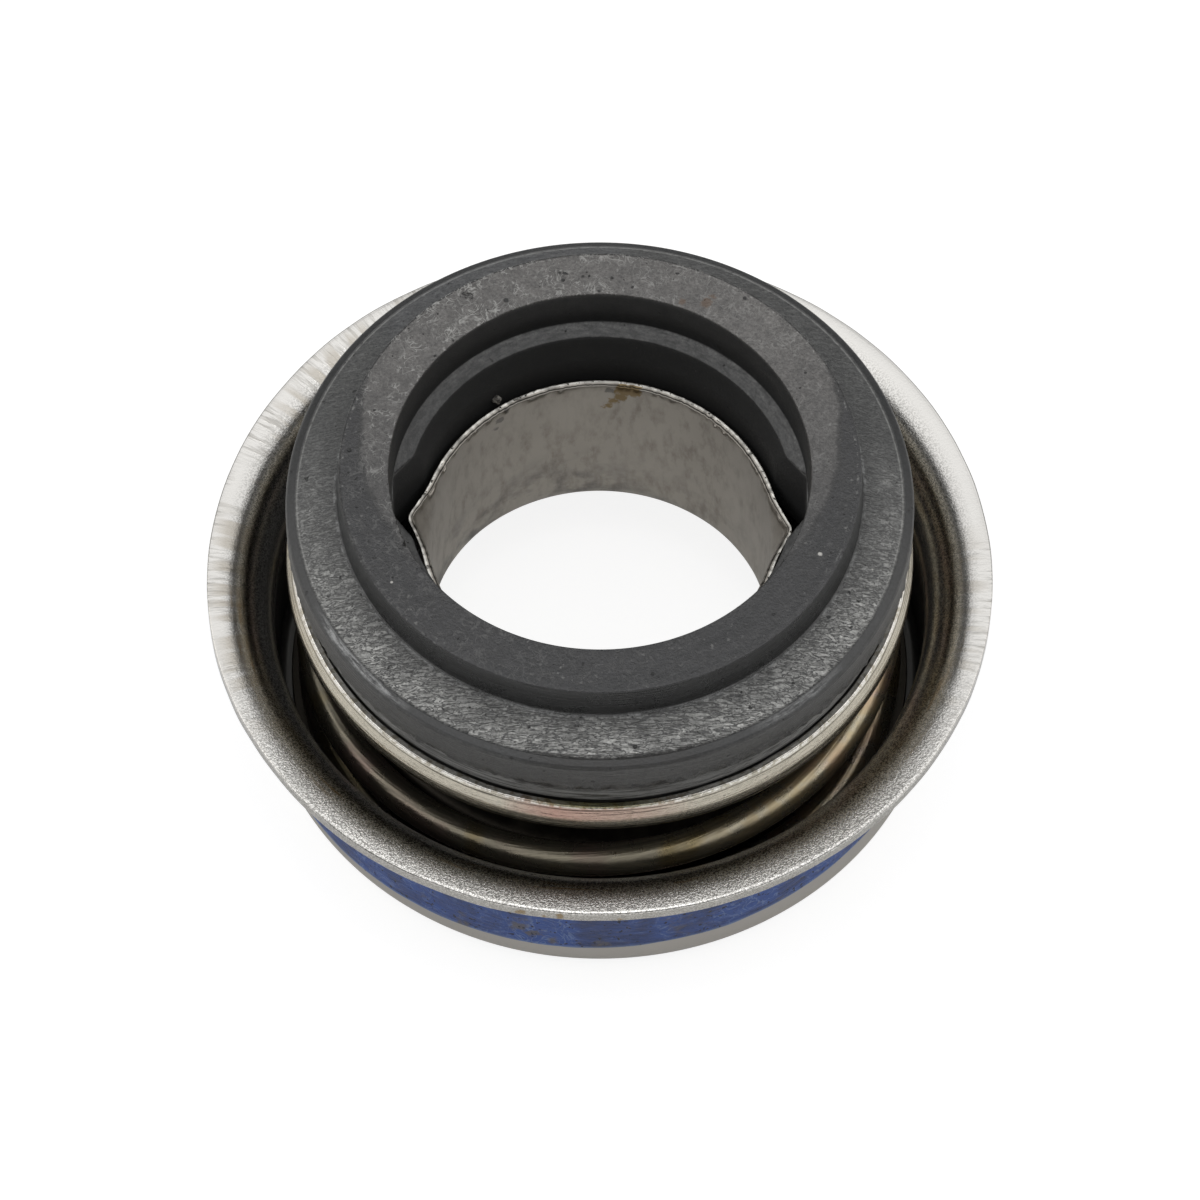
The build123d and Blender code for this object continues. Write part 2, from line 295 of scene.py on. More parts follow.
def carbonShape(r, z, a):
    # two drive notches in the ledge, a nibbled lower edge and chips on the bore's edge
    ledge = carbon["face"] - carbon["ledgeDepth"]
    inner = (r < carbon["bore"] - 0.03) & (z < ledge + 0.02)
    notch = notchOutline(a)
    r = np.where(inner, np.minimum(np.maximum(r, notch), carbon["bore"] - 0.075 + 0 * r), r)
    # nibbled lower edge of the wall
    ragged = smoothStep(carbon["face"] - carbon["wallDrop"] + 0.35, carbon["face"] - carbon["wallDrop"], z)
    ragged = ragged * (r > 12.3)
    z = z + ragged * 0.07 * ripple(a, 21, 14, 200, 0.4) * (0.6 + 0.4 * np.sin(3 * a + 1))
    r = r - ragged * 0.04 * (1 + ripple(a, 22, 30, 200, 0.2))
    # small chips along the bore edge, left of the front
    chipped = np.exp(-((a + np.radians(157)) / np.radians(7.0)) ** 2)
    onEdge = np.exp(-((r - carbon["bore"]) / 0.12) ** 2 - ((z - carbon["face"]) / 0.12) ** 2)
    bite = np.maximum(ripple(a, 23, 60, 200, 0.1), 0)
    r = r + chipped * onEdge * 0.09 * bite
    z = z - chipped * onEdge * 0.08 * bite
    return r, z


def carbonProfile():
    # corners (radius, height, rounding): across the face, down the shoulder and wall, up the bore
    c = carbon
    face = c["face"]
    ledge, base = face - c["ledgeDepth"], face - c["height"]
    shoulder = face - c["noseHeight"] - c["shoulderFall"]
    wallLow = face - c["wallDrop"]
    return roundedOutline([
        (c["bore"], face, 0.06),
        (c["noseRadius"], face, 0.05),
        (c["noseRadius"] + 0.1, face - c["noseHeight"], 0.16),
        (c["shoulderRadius"], shoulder, 0.04),
        (c["radius"] - 0.1, shoulder - 0.15, 0.12),
        (c["radius"], shoulder - 0.29, 0.12),
        (c["radius"], wallLow, 0.06),
        (c["radius"] - c["spigotIn"], wallLow, 0),
        (c["radius"] - c["spigotIn"], base, 0.2),
        (c["ledgeBore"] - c["draft"], base, 0.1),
        (c["ledgeBore"] - c["draft"], ledge - 1.5, 0.5),
        (c["ledgeBore"], ledge - c["ledgeFall"], 0.08),
        (c["bore"] - 0.07, ledge, 0.1),
    ], 8, 0.22)


carbonObject = gridMesh("carbon_face_ring",
                        turnedPoints(outwardProfile(carbonProfile()), evenAngles, carbonShape))
print("carbon ring:", len(carbonObject.data.polygons), "faces")


# Crumb of dried grease stuck to the tube's rim.
crumb = {"place": (-4.28, 6.22, 11.62), "size": (0.2, 0.17, 0.24)}


def crumbPoints():
    # lumpy little ball: sphere radii scaled by slow waves
    t = np.linspace(0.001, np.pi - 0.001, 14)[None]
    a = np.linspace(0, 2 * np.pi, 20, endpoint=False)[:, None]
    lump = 1 + 0.16 * np.sin(3 * a + 2 * t) + 0.1 * np.cos(2 * a - 5 * t)
    ball = np.stack([np.sin(t) * np.cos(a), np.sin(t) * np.sin(a), np.cos(t) + 0 * a], -1) * lump[..., None]
    return ball[:, ::-1] * np.array(crumb["size"]) + np.array(crumb["place"])


crumbObject = gridMesh("grease_crumb", crumbPoints(), closeAcross=False)
print("crumb:", len(crumbObject.data.polygons), "faces")


# Retainer ring: rolled bright sheet round the rubber cup.
retainer = {"sheet": 0.3, "radius": 12.88, "lipIn": 0.29, "height": 1.62, "bend": 0.62, "bore": 10.6,
            "low": 8.82}


def retainerProfile():
    # corners (radius, height, rounding) of a cup whose lip leans in over the rubber
    c = retainer
    top, mid = c["low"] + c["height"], c["low"] + c["bend"] * c["height"]
    return roundedOutline([
        (c["radius"] - c["lipIn"], top, 0.06),
        (c["radius"] - 0.02, mid, 0.7),
        (c["radius"], c["low"], 0.5),
        (c["bore"], c["low"], 0.05),
        (c["bore"], c["low"] + c["sheet"], 0.05),
        (c["radius"] - c["sheet"], c["low"] + c["sheet"], 0.32),
        (c["radius"] - c["sheet"], mid, 0.6),
        (c["radius"] - c["lipIn"] - c["sheet"], top, 0.06),
    ], 10, 0.3)


def retainerShape(r, z, a):
    # the rolled lip rises and falls a little round the ring
    lip = smoothStep(retainer["low"] + 1.0, retainer["low"] + retainer["height"], z)
    z = z + lip * 0.02 * ripple(a, 31, 3, 70, 0.8)
    return r, z


retainerObject = gridMesh("retainer_sheet",
                          turnedPoints(outwardProfile(retainerProfile()), evenAngles, retainerShape))
print("retainer ring:", len(retainerObject.data.polygons), "faces")


# Rubber bellows, from its foot on the case up to the cup round the carbon ring.
rubber = {"thickness": 0.75, "membrane": 8.75, "foot": 2.95, "footThick": 0.9, "sleeve": 7.42}


def bellowsProfile():
    # corners (radius, height, rounding): foot, sleeve, membrane, the cup's lip and back down
    c, k = rubber, retainer
    base = carbon["face"] - carbon["height"]
    wallLow = carbon["face"] - carbon["wallDrop"]
    spigot = carbon["radius"] - carbon["spigotIn"]
    cup = k["radius"] - k["sheet"] - 0.02
    lip = k["radius"] - k["lipIn"] - k["sheet"] - 0.02
    mid, top = k["low"] + k["bend"] * k["height"], k["low"] + k["height"]
    foot, sleeve, thick = c["foot"], c["sleeve"], c["thickness"]
    return roundedOutline([
        (sleeve, foot, 1.05),
        (sleeve, foot + 3.4, 0.9),
        (c["membrane"], foot + 5.2, 0.9),
        (c["membrane"], base, 0.1),
        (spigot, base, 0.2),
        (spigot, wallLow, 0),
        (spigot + 0.46, wallLow, 0.12),
        (lip, top, 0),
        (cup - 0.02, mid, 0.45),
        (cup, k["low"] + k["sheet"], 0.34),
        (c["membrane"] + thick, k["low"] + k["sheet"], 0.3),
        (c["membrane"] + thick, foot + 4.9, 0.9),
        (sleeve + thick, foot + 3.1, 0.9),
        (sleeve + thick, foot + c["footThick"], 0.3),
        (case["riserRadius"] - 0.4, foot + c["footThick"], 0.1),
        (case["riserRadius"] - 0.4, foot, 0.1),
    ], 7, 0.3)


def bellowsShape(r, z, a):
    # flash of squeezed-out rubber: an uneven bead under the carbon wall
    lip = np.exp(-((z - 11.75) / 0.22) ** 2) * (r > 12.2)
    r = r + lip * 0.05 * ripple(a, 41, 16, 200, 0.3)
    z = z + lip * 0.03 * ripple(a, 42, 16, 160, 0.3)
    return r, z


bellowsObject = gridMesh("bellows_rubber",
                         turnedPoints(outwardProfile(bellowsProfile()), evenAngles, bellowsShape))
print("bellows:", len(bellowsObject.data.polygons), "faces")


# Spring seat: a pressed hat over the raised floor.
seat = {"sheet": 0.4, "radius": 12.9, "gap": 0.1, "inner": 8.62}


def seatProfile():
    # corners (radius, height, rounding) of the brim, the hat's side and its top
    s = case["sheet"]
    hat = case["riserRadius"] + s + seat["gap"]
    top = case["floorRise"] + s + 1.0 + seat["sheet"]
    return roundedOutline([
        (seat["radius"], s, 0.05),
        (hat, s, 0.4),
        (hat, top - seat["sheet"], 0.2),
        (seat["inner"], top - seat["sheet"], 0.05),
        (seat["inner"], top, 0.05),
        (hat + seat["sheet"], top, 0.6),
        (hat + seat["sheet"], s + seat["sheet"], 0.12),
        (seat["radius"], s + seat["sheet"], 0.05),
    ], 6, 0.5)


seatObject = gridMesh("spring_seat_sheet",
                      turnedPoints(outwardProfile(seatProfile()), evenAngles[::2]))
print("spring seat:", len(seatObject.data.polygons), "faces")


# Coil spring: round wire carried along a helix with flat closed ends.
spring = {"wire": 1.4, "coilRadius": 11.9, "pitch": 3.9, "deadTurns": 0.6, "low": 1.7, "high": 8.02,
          "bend": 0.08, "startAngle": 100.15, "topTurnIn": 0.62, "drawInTurns": 0.6, "bevel": 0.08}


def springPath(steps):
    # wire centre (r cos a, r sin a, h): h is level, bends into the pitch and is level again, and
    # r draws in by s^2 (3 - 2s) over the last part of the rise
    c = spring
    rise = (c["high"] - c["low"]) / c["pitch"]
    t = np.linspace(0, rise + 2 * c["deadTurns"], steps)
    run, e = t - c["deadTurns"], c["bend"]
    left = rise - run
    h = c["low"] + c["pitch"] * run
    h = np.where(np.abs(run) < e, c["low"] + c["pitch"] * (run + e) ** 2 / (4 * e), h)
    h = np.where(np.abs(left) < e, c["high"] - c["pitch"] * (left + e) ** 2 / (4 * e), h)
    h = np.where(run <= -e, c["low"], np.where(left <= -e, c["high"], h))
    a = math.radians(c["startAngle"]) + 2 * np.pi * t
    r = c["coilRadius"] - c["topTurnIn"] * smoothStep(rise - c["drawInTurns"], rise, run)
    return np.stack([r * np.cos(a), r * np.sin(a), h], 1), a


def springMesh(name, steps=430, sides=36):
    # tube round the path: path + radius (out cos b + up sin b), where up stands on out and the path;
    # its vertices come with the height of the path beside them
    path, a = springPath(steps)
    along = np.gradient(path, axis=0)
    along /= np.linalg.norm(along, axis=1)[:, None]
    out = np.stack([np.cos(a), np.sin(a), 0 * a], 1)
    up = np.cross(out, along)
    up *= np.sign(up[:, 2])[:, None]
    b = np.linspace(0, 2 * np.pi, sides, endpoint=False)
    ring = out[:, None] * np.cos(b)[None, :, None] + up[:, None] * np.sin(b)[None, :, None]
    radius = spring["wire"] / 2
    rings = path[:, None] + ring * radius
    # the cut ends have a narrow bevel: three more rings, pushed out by it, draw in to the centre
    bevel = spring["bevel"]
    inwards = np.array([radius - bevel, radius * 0.5, radius * 0.02])[:, None, None]
    first, last = (path[k] + ring[k] * inwards + sign * along[k] * bevel for k, sign in ((0, -1), (-1, 1)))
    rings = np.concatenate([first[::-1], rings, last])
    rows, cols = rings.shape[:2]
    i, j = np.meshgrid(np.arange(rows - 1), np.arange(cols), indexing="ij")
    nextJ = (j + 1) % cols
    quads = np.stack([i * cols + j, i * cols + nextJ, (i + 1) * cols + nextJ, (i + 1) * cols + j], -1)
    heights = np.concatenate([np.full(3, path[0, 2]), path[:, 2], np.full(3, path[-1, 2])])
    return meshFrom(name, rings.reshape(-1, 3), quads.reshape(-1, 4)), np.repeat(heights, cols)


springObject, springHeights = springMesh("spring_wire")
print("spring:", len(springObject.data.polygons), "faces")


def linear(hexColour):
    # sRGB hex to linear RGBA
    v = np.array([int(hexColour[i:i + 2], 16) for i in (1, 3, 5)]) / 255
    v = np.where(v <= 0.04045, v / 12.92, ((v + 0.055) / 1.055) ** 2.4)
    return (*[float(x) for x in v], 1.0)


def addNode(tree, kind, *values, out=None, **settings):
    # adds a node and gives back its output. Values go to the sockets in use, in order; a setting goes to
    # the socket of its name (baseColor to Base Color), or else it is the node's own. Sockets are linked,
    # anything else is set. A Math node with more than two values works through them in pairs.
    if kind == "Math" and len(values) > 2 and settings["operation"] != "MULTIPLY_ADD":
        values = (addNode(tree, kind, *values[:-1], **settings), values[-1])
    node = tree.nodes.new("ShaderNode" + kind)
    named = {socket.name.replace(" ", "").lower(): socket for socket in node.inputs}
    for key, value in settings.items():
        if key.lower() not in named:
            setattr(node, key, value)
    inUse = [socket for socket in node.inputs if socket.enabled]
    chosen = [(named[key.lower()], value) for key, value in settings.items() if key.lower() in named]
    for socket, value in [*zip(inUse, values), *chosen]:
        if isinstance(value, bpy.types.NodeSocket):
            tree.links.new(value, socket)
        else:
            socket.default_value = value
    if out:
        return node.outputs[out]
    return next((socket for socket in node.outputs if socket.enabled), node)


def newMaterial(name):
    # a material and the function that adds nodes to it
    material = bpy.data.materials.new(name)
    material.use_nodes = True
    material.node_tree.nodes.clear()
    return material, partial(addNode, material.node_tree)


# Patterns run on millimetres: a noise of scale 12 has grains about 1/12 mm wide.
def ringCoordinates(add):
    # object coordinates in millimetres: x, y, z, the distance from the axis and the direction round it
    mm = add("VectorMath", add("TexCoord", out="Object"), 1 / millimetre, operation="SCALE")
    x, y, z = add("SeparateXYZ", mm).node.outputs
    r = add("Math",
        add("Math", add("Math", x, x, operation="MULTIPLY"), add("Math", y, y, operation="MULTIPLY"),
            operation="ADD"), operation="SQRT")
    r = add("Math", r, 0.001, operation="MAXIMUM")
    return {"mm": mm, "x": x, "y": y, "z": z, "r": r,
            "cos": add("Math", x, r, operation="DIVIDE"), "sin": add("Math", y, r, operation="DIVIDE")}


def ringVector(add, at, across, along, path):
    # noise coordinates that run round the ring without a seam: as fine round it as across says,
    # and along per millimetre of path
    return add("CombineXYZ", add("Math", at["cos"], across, operation="MULTIPLY"),
        add("Math", at["sin"], across, operation="MULTIPLY"), add("Math", path, along, operation="MULTIPLY"))


def band(add, value, low, high, soft):
    # 1 between low and high, falling to 0 over soft
    return add("Math", add("MapRange", value, low - soft, low + soft),
        add("MapRange", value, high - soft, high + soft, 1.0, 0.0), operation="MULTIPLY")


def hairLines(add, vector, scale, width, distortion=3.0):
    # thin curling lines where a noise crosses its middle: 1 - |n - 0.5| / width
    middle = add("Math", add("TexNoise", vector, scale=scale, detail=2.0, roughness=0.5, distortion=distortion),
        0.5, operation="SUBTRACT")
    return add("MapRange", add("Math", middle, operation="ABSOLUTE"), 0.0, width, 1.0, 0.0)


def spots(add, at, places, wobble, soft=0.05):
    # 1 inside any of the blots (x, y, z, radius in mm), whose outlines wobble with a noise
    rough = add("Math", add("TexNoise", at["mm"], scale=3.0, detail=3.0, roughness=0.6), 0.5,
        operation="SUBTRACT")
    depths = [add("Math", radius, add("VectorMath", at["mm"], (x, y, z), operation="DISTANCE"),
                  operation="SUBTRACT") for x, y, z, radius in places]
    deepest = add("Math", *depths, operation="MAXIMUM") if len(depths) > 1 else depths[0]
    return add("MapRange", add("Math", rough, wobble, deepest, operation="MULTIPLY_ADD"), -soft, soft)


# Deep-drawn stainless sheet: satin metal whose skin turned to a fine salt-and-pepper orange peel where
# it was stretched over the bell, with faint drag marks across the flange; dull and smudged inside the
# tube, with a painted highlight and shade on its torn rim; dark with old oil and painted shade down the
# bell and at the bottom of the case.
def drawnStainless():
    look = {
        "flange": "#eae8e4", "tube": "#b0aba3", "outside": "#b9b5af", "pepper": "#686660", "drag": "#b9b6b0",
        "facet": "#bfb8ac", "oil": "#33322f", "wetOil": "#1b1a18", "speck": "#c9c8c4", "cut": "#a8a59f",
        "smudge": "#45464a", "mottle": "#7f776e", "tan": "#86714a", "gold": "#b79a6c", "burr": "#dddbd5",
        "crack": "#232220",
        # blots (x, y, z, radius): tan and grey ones in the tube, rust on the front of the flange
        "tanBlots": [(0.95, 6.96, 11.15, 0.36), (1.35, 6.9, 11.2, 0.36), (0.85, 6.97, 10.7, 0.28),
                     (0.55, 7.0, 10.35, 0.2), (0.3, 7.0, 10.0, 0.16)],
        "greyBlots": [(-4.1, 5.7, 10.85, 0.2), (-3.9, 5.84, 11.2, 0.16), (0.42, 7.0, 11.1, 0.2),
                      (-4.3, 5.55, 10.4, 0.1)],
        "rustBlots": [(-3.17, -15.9, 7.7, 0.14), (-1.56, -16.13, 7.75, 0.16), (-2.2, -16.05, 7.6, 0.08),
                      (0.9, -16.17, 7.6, 0.08)],
    }
    material, add = newMaterial("drawn stainless sheet")
    at = ringCoordinates(add)
    path = add("Math", at["r"], at["z"], operation="SUBTRACT")
    depth = add("Attribute", attribute_name="sheet_depth", out="Fac")
    springSide = add("Attribute", attribute_name="spring_side", out="Fac")
    # grain of the stretched skin, 0.08 mm, and drag marks 0.2 mm apart
    grain = add("TexNoise", at["mm"], scale=12.0, detail=2.0, roughness=0.7)
    drag = add("TexNoise", ringVector(add, at, 80.0, 0.9, path), scale=1.0, detail=2.0, roughness=0.6)
    cloud = add("TexNoise", at["mm"], scale=0.45, detail=3.0, roughness=0.5)
    inTube = add("Math", band(add, at["r"], 5.0, 8.2, 0.05), band(add, at["z"], 2.0, 12.0, 0.1),
        operation="MULTIPLY")
    onBell = add("Math", add("MapRange", at["r"], 13.2, 13.9), add("MapRange", at["z"], 5.2, 6.4),
        operation="MULTIPLY")
    outside = add("Math", add("Math", 1.0, springSide, operation="SUBTRACT"),
        add("MapRange", at["r"], 8.2, 8.8), add("MapRange", at["z"], 5.6, 6.2, 1.0, 0.0), operation="MULTIPLY")
    cutEdge = add("Math", add("MapRange", at["r"], 16.0, 16.08), add("MapRange", at["z"], 7.9, 7.99, 1.0, 0.0),
        operation="MULTIPLY")
    inside = add("Math", springSide, add("MapRange", at["z"], 4.5, 6.3, 1.0, 0.0), operation="MULTIPLY")
    colour = add("Mix", inTube, linear(look["flange"]), linear(look["tube"]), data_type="RGBA")
    colour = add("Mix", outside, colour, linear(look["outside"]), data_type="RGBA")
    # salt and pepper: the noise darkens grains of the bell, more of them where it bends down and
    # at the front, where the skin was stretched most
    front = add("MapRange", at["y"], -3.0, -10.5)
    pepper = add("MapRange", grain, 0.56, 0.42)
    share = add("Math",
        add("Math", onBell, add("MapRange", at["r"], 15.7, 14.7, 0.0, 0.75), operation="MULTIPLY"),
        add("Math", add("Math", add("Math", onBell, front, operation="MULTIPLY"), cutEdge, operation="ADD"),
            add("MapRange", at["r"], 15.3, 16.1, 0.3, 0.6), operation="MULTIPLY"), operation="ADD")
    colour = add("Mix", add("Math", pepper, share, operation="MULTIPLY"), colour, linear(look["pepper"]),
        data_type="RGBA")
    colour = add("Mix", add("Math", cutEdge, 0.75, operation="MULTIPLY"), colour, linear(look["cut"]),
        data_type="RGBA")
    # drag marks of the press ring across the flat of the flange, at the back and sides
    dragged = add("Math", add("MapRange", drag, 0.47, 0.68), add("MapRange", at["r"], 14.6, 15.2), onBell,
        add("MapRange", at["y"], -11.0, -4.0),
        add("MapRange", add("TexNoise", at["mm"], scale=0.35, detail=2.0, roughness=0.5), 0.36, 0.52),
        add("Math", add("MapRange", at["x"], 2.0, -2.0), add("MapRange", at["y"], 3.0, 0.0),
            operation="MAXIMUM"), operation="MULTIPLY")
    colour = add("Mix", add("Math", dragged, 0.8, operation="MULTIPLY"), colour, linear(look["drag"]),
        data_type="RGBA")
    # broad facets between them, where the sheet gathered as it was drawn in
    facet = add("TexNoise", ringVector(add, at, 24.0, 0.3, path), scale=1.0, detail=1.0, roughness=0.4)
    facet = add("Math", add("MapRange", facet, 0.49, 0.57), band(add, at["r"], 14.5, 15.9, 0.35), onBell,
        add("MapRange", at["y"], -9.0, -5.0),
        add("Math", add("MapRange", at["x"], 2.0, -2.0), add("MapRange", at["y"], 3.0, 0.0, 0.0, 0.6),
            operation="MAXIMUM"), operation="MULTIPLY")
    colour = add("Mix", add("Math", facet, 0.7, operation="MULTIPLY"), colour, linear(look["facet"]),
        data_type="RGBA")
    # dark film, partly old oil and partly painted shade: heavier down the bell and in the case, darker on the
    # right, with grit in it at the front
    upperSide = add("Math",
        add("Math", add("Math", at["z"], 6.0, operation="SUBTRACT"), 0.0, operation="MAXIMUM"), -0.35, at["r"],
        operation="MULTIPLY_ADD")
    filmAndShade = add("Math", add("MapRange", at["z"], 7.6, 6.7), add("MapRange", at["r"], 13.2, 13.4),
        add("MapRange", upperSide, 13.9, 13.95, 1.0, 0.0), add("MapRange", at["y"], -13.0, -8.0, 0.8, 0.35),
        operation="MULTIPLY")
    filmAndShade = add("Math", filmAndShade, add("Math", inside, 0.93, operation="MULTIPLY"), operation="MAXIMUM")
    oil = add("Mix", add("MapRange", at["x"], 0.0, 7.0), linear(look["oil"]), linear(look["wetOil"]),
        data_type="RGBA")
    colour = add("Mix", filmAndShade, colour, oil, data_type="RGBA")
    speck = add("Math",
        add("MapRange", add("TexNoise", at["mm"], scale=5.5, detail=1.0, roughness=0.4), 0.67, 0.7), onBell,
        front, add("MapRange", at["r"], 15.0, 14.6), operation="MULTIPLY")
    colour = add("Mix", add("Math", speck, 0.8, operation="MULTIPLY"), colour, linear(look["speck"]),
        data_type="RGBA")
    # a few short golden streaks round the bell
    streak = add("MapRange",
        add("TexNoise", ringVector(add, at, 4.0, 7.0, path), scale=1.0, detail=3.0, roughness=0.6), 0.54, 0.62)
    streak = add("Math", streak, onBell, band(add, at["r"], 14.5, 15.25, 0.12),
        add("MapRange", at["y"], 2.0, -4.0),
        add("MapRange", add("TexNoise", at["mm"], scale=0.22, detail=2.0, roughness=0.5), 0.44, 0.54),
        operation="MULTIPLY")
    colour = add("Mix", add("Math", streak, 0.7, operation="MULTIPLY"), colour, linear(look["gold"]),
        data_type="RGBA")
    # tube: warm middle, streaky mottling along the draw, bluish smudges low down on the left
    mottle = add("TexNoise", ringVector(add, at, 15.0, 0.8, at["z"]), scale=1.0, detail=4.0, roughness=0.65)
    colour = add("Mix",
        add("Math", add("MapRange", mottle, 0.46, 0.68), inTube, add("MapRange", cloud, 0.4, 0.6, 0.25, 0.6),
            operation="MULTIPLY"), colour, linear(look["mottle"]), data_type="RGBA")
    low = add("TexNoise", ringVector(add, at, 5.0, 0.9, at["z"]), scale=1.0, detail=4.0, roughness=0.6)
    low = add("Math", add("MapRange", low, 0.46, 0.72), add("MapRange", at["z"], 7.0, 4.2), inTube,
        add("MapRange", at["x"], -1.0, 3.0, 1.0, 0.35), operation="MULTIPLY")
    colour = add("Mix", add("Math", low, 0.75, operation="MULTIPLY"), colour, linear(look["smudge"]),
        data_type="RGBA")
    tan = spots(add, at, look["tanBlots"], 0.7)
    grey = spots(add, at, look["greyBlots"], 0.7)
    tan = add("Math", add("Math", tan, inTube, operation="MULTIPLY"), spots(add, at, look["rustBlots"], 0.7),
        operation="MAXIMUM")
    colour = add("Mix", add("Math", grey, inTube, 0.55, operation="MULTIPLY"), colour, linear(look["smudge"]),
        data_type="RGBA")
    colour = add("Mix", add("Math", tan, 0.85, operation="MULTIPLY"), colour, linear(look["tan"]),
        data_type="RGBA")
    # torn rim of the tube: a thin bright burr on its outer side with a painted highlight, a dark crack behind
    # it with painted shade
    rim = add("MapRange", at["z"], 11.3, 11.36)
    burr = add("Math", rim, band(add, depth, 0.16, 0.42, 0.05), operation="MULTIPLY")
    crack = add("Math", rim, band(add, depth, 0.62, 0.86, 0.04), operation="MULTIPLY")
    notch = add("MapRange", add("TexNoise", at["mm"], scale=5.0, detail=2.0, roughness=0.6), 0.36, 0.44)
    colour = add("Mix", burr, colour,
        add("Mix", notch, linear(look["crack"]), linear(look["burr"]), data_type="RGBA"), data_type="RGBA")
    colour = add("Mix", add("Math", crack, 0.9, operation="MULTIPLY"), colour, linear(look["crack"]),
        data_type="RGBA")
    corner = add("Math", add("MapRange", at["r"], 16.04, 16.1), add("MapRange", at["z"], 7.93, 7.99),
        operation="MULTIPLY")
    bump = add("Bump",
        height=add("Math", grain,
            add("Math", 0.12,
                add("Math", onBell, add("MapRange", front, 0.0, 1.0, 0.1, 1.0), operation="MULTIPLY"),
                operation="ADD"), add("MapRange", corner, 0.0, 1.0, 1.0, 0.1), operation="MULTIPLY"),
        strength=0.8, distance=0.04 * millimetre)
    bump = add("Bump",
        height=add("Math", drag, onBell, add("MapRange", at["r"], 14.7, 15.4),
            add("MapRange", at["y"], -12.0, -7.0, 0.3, 1.0), add("MapRange", dragged, 0.0, 1.0, 0.3, 1.0),
            operation="MULTIPLY"), strength=0.3, distance=0.04 * millimetre, normal=bump)
    rough = add("Math", add("MapRange", cloud, 0.3, 0.7, 0.16, 0.22),
        add("Math", inTube, 0.23, operation="MULTIPLY"),
        add("Math", add("Math", inside, outside, operation="MAXIMUM"), 0.16, operation="MULTIPLY"),
        operation="ADD")
    # the film hides the metal under it
    metal = add("MapRange", filmAndShade, 0.0, 1.0, 1.0, 0.45)
    add("OutputMaterial", add("BsdfPrincipled", baseColor=colour, metallic=metal, roughness=rough, normal=bump))
    return material


# Dried sealant lacquer: deep blue, half gloss, brushed on round the wall, rubbed grey-brown in places.
def driedSealant():
    look = {
        "deep": "#172f64", "blue": "#2f5098", "pale": "#7d93b8", "scuff": "#5d5750", "pit": "#10152c",
        # rubbed brown places (x, y, z, radius) at the front
        "smears": [(-3.2, -13.75, 2.8, 0.35), (-2.7, -13.87, 2.5, 0.28), (-1.9, -14.0, 2.1, 0.2),
                   (-5.5, -13.0, 1.75, 0.25), (0.1, -14.14, 2.1, 0.22)],
    }
    material, add = newMaterial("dried blue sealant")
    at = ringCoordinates(add)
    brushed = add("TexNoise", ringVector(add, at, 12.0, 3.2, at["z"]), scale=1.0, detail=5.0, roughness=0.7,
        distortion=0.8)
    cloud = add("TexNoise", at["mm"], scale=0.6, detail=4.0, roughness=0.6)
    rubbed = add("MapRange",
        add("TexNoise", ringVector(add, at, 16.0, 1.5, at["z"]), scale=1.0, detail=5.0, roughness=0.7), 0.57,
        0.66)
    marks = hairLines(add, at["mm"], 1.1, 0.04, 2.0)
    pits = add("MapRange", add("TexNoise", at["mm"], scale=4.5, detail=1.0, roughness=0.4), 0.68, 0.71)
    smears = spots(add, at, look["smears"], 1.1, 0.15)
    wet = add("Math", add("Math", brushed, 0.4, operation="MULTIPLY"),
        add("Math", cloud, 0.6, operation="MULTIPLY"), operation="ADD")
    colour = add("Mix", add("MapRange", wet, 0.4, 0.56), linear(look["deep"]), linear(look["blue"]),
        data_type="RGBA")
    colour = add("Mix", add("Math", add("MapRange", brushed, 0.6, 0.75), 0.5, operation="MULTIPLY"), colour,
        linear(look["pale"]), data_type="RGBA")
    thin = add("Math", at["z"],
        add("Math", at["cos"], sealant["bareTilt"], sealant["bareBand"], operation="MULTIPLY_ADD"),
        operation="SUBTRACT")
    colour = add("Mix", add("MapRange", thin, 0.22, 0.04, 0.0, 0.6), colour, linear(look["pale"]),
        data_type="RGBA")
    colour = add("Mix", add("Math", marks, add("MapRange", cloud, 0.45, 0.6), 0.6, operation="MULTIPLY"),
        colour, linear(look["pale"]), data_type="RGBA")
    colour = add("Mix", add("Math", rubbed, 0.4, operation="MULTIPLY"), colour, linear(look["scuff"]),
        data_type="RGBA")
    colour = add("Mix", add("Math", smears, 0.8, operation="MULTIPLY"), colour, linear(look["scuff"]),
        data_type="RGBA")
    colour = add("Mix", pits, colour, linear(look["pit"]), data_type="RGBA")
    bump = add("Bump", height=brushed, strength=0.8, distance=0.06 * millimetre)
    bump = add("Bump", height=add("Math", 1.0, pits, operation="SUBTRACT"), strength=0.8,
        distance=0.04 * millimetre, normal=bump)
    add("OutputMaterial",
        add("BsdfPrincipled", ior=1.5, baseColor=colour, normal=bump,
            roughness=add("MapRange", cloud, 0.3, 0.7, 0.35, 0.55)))
    return material
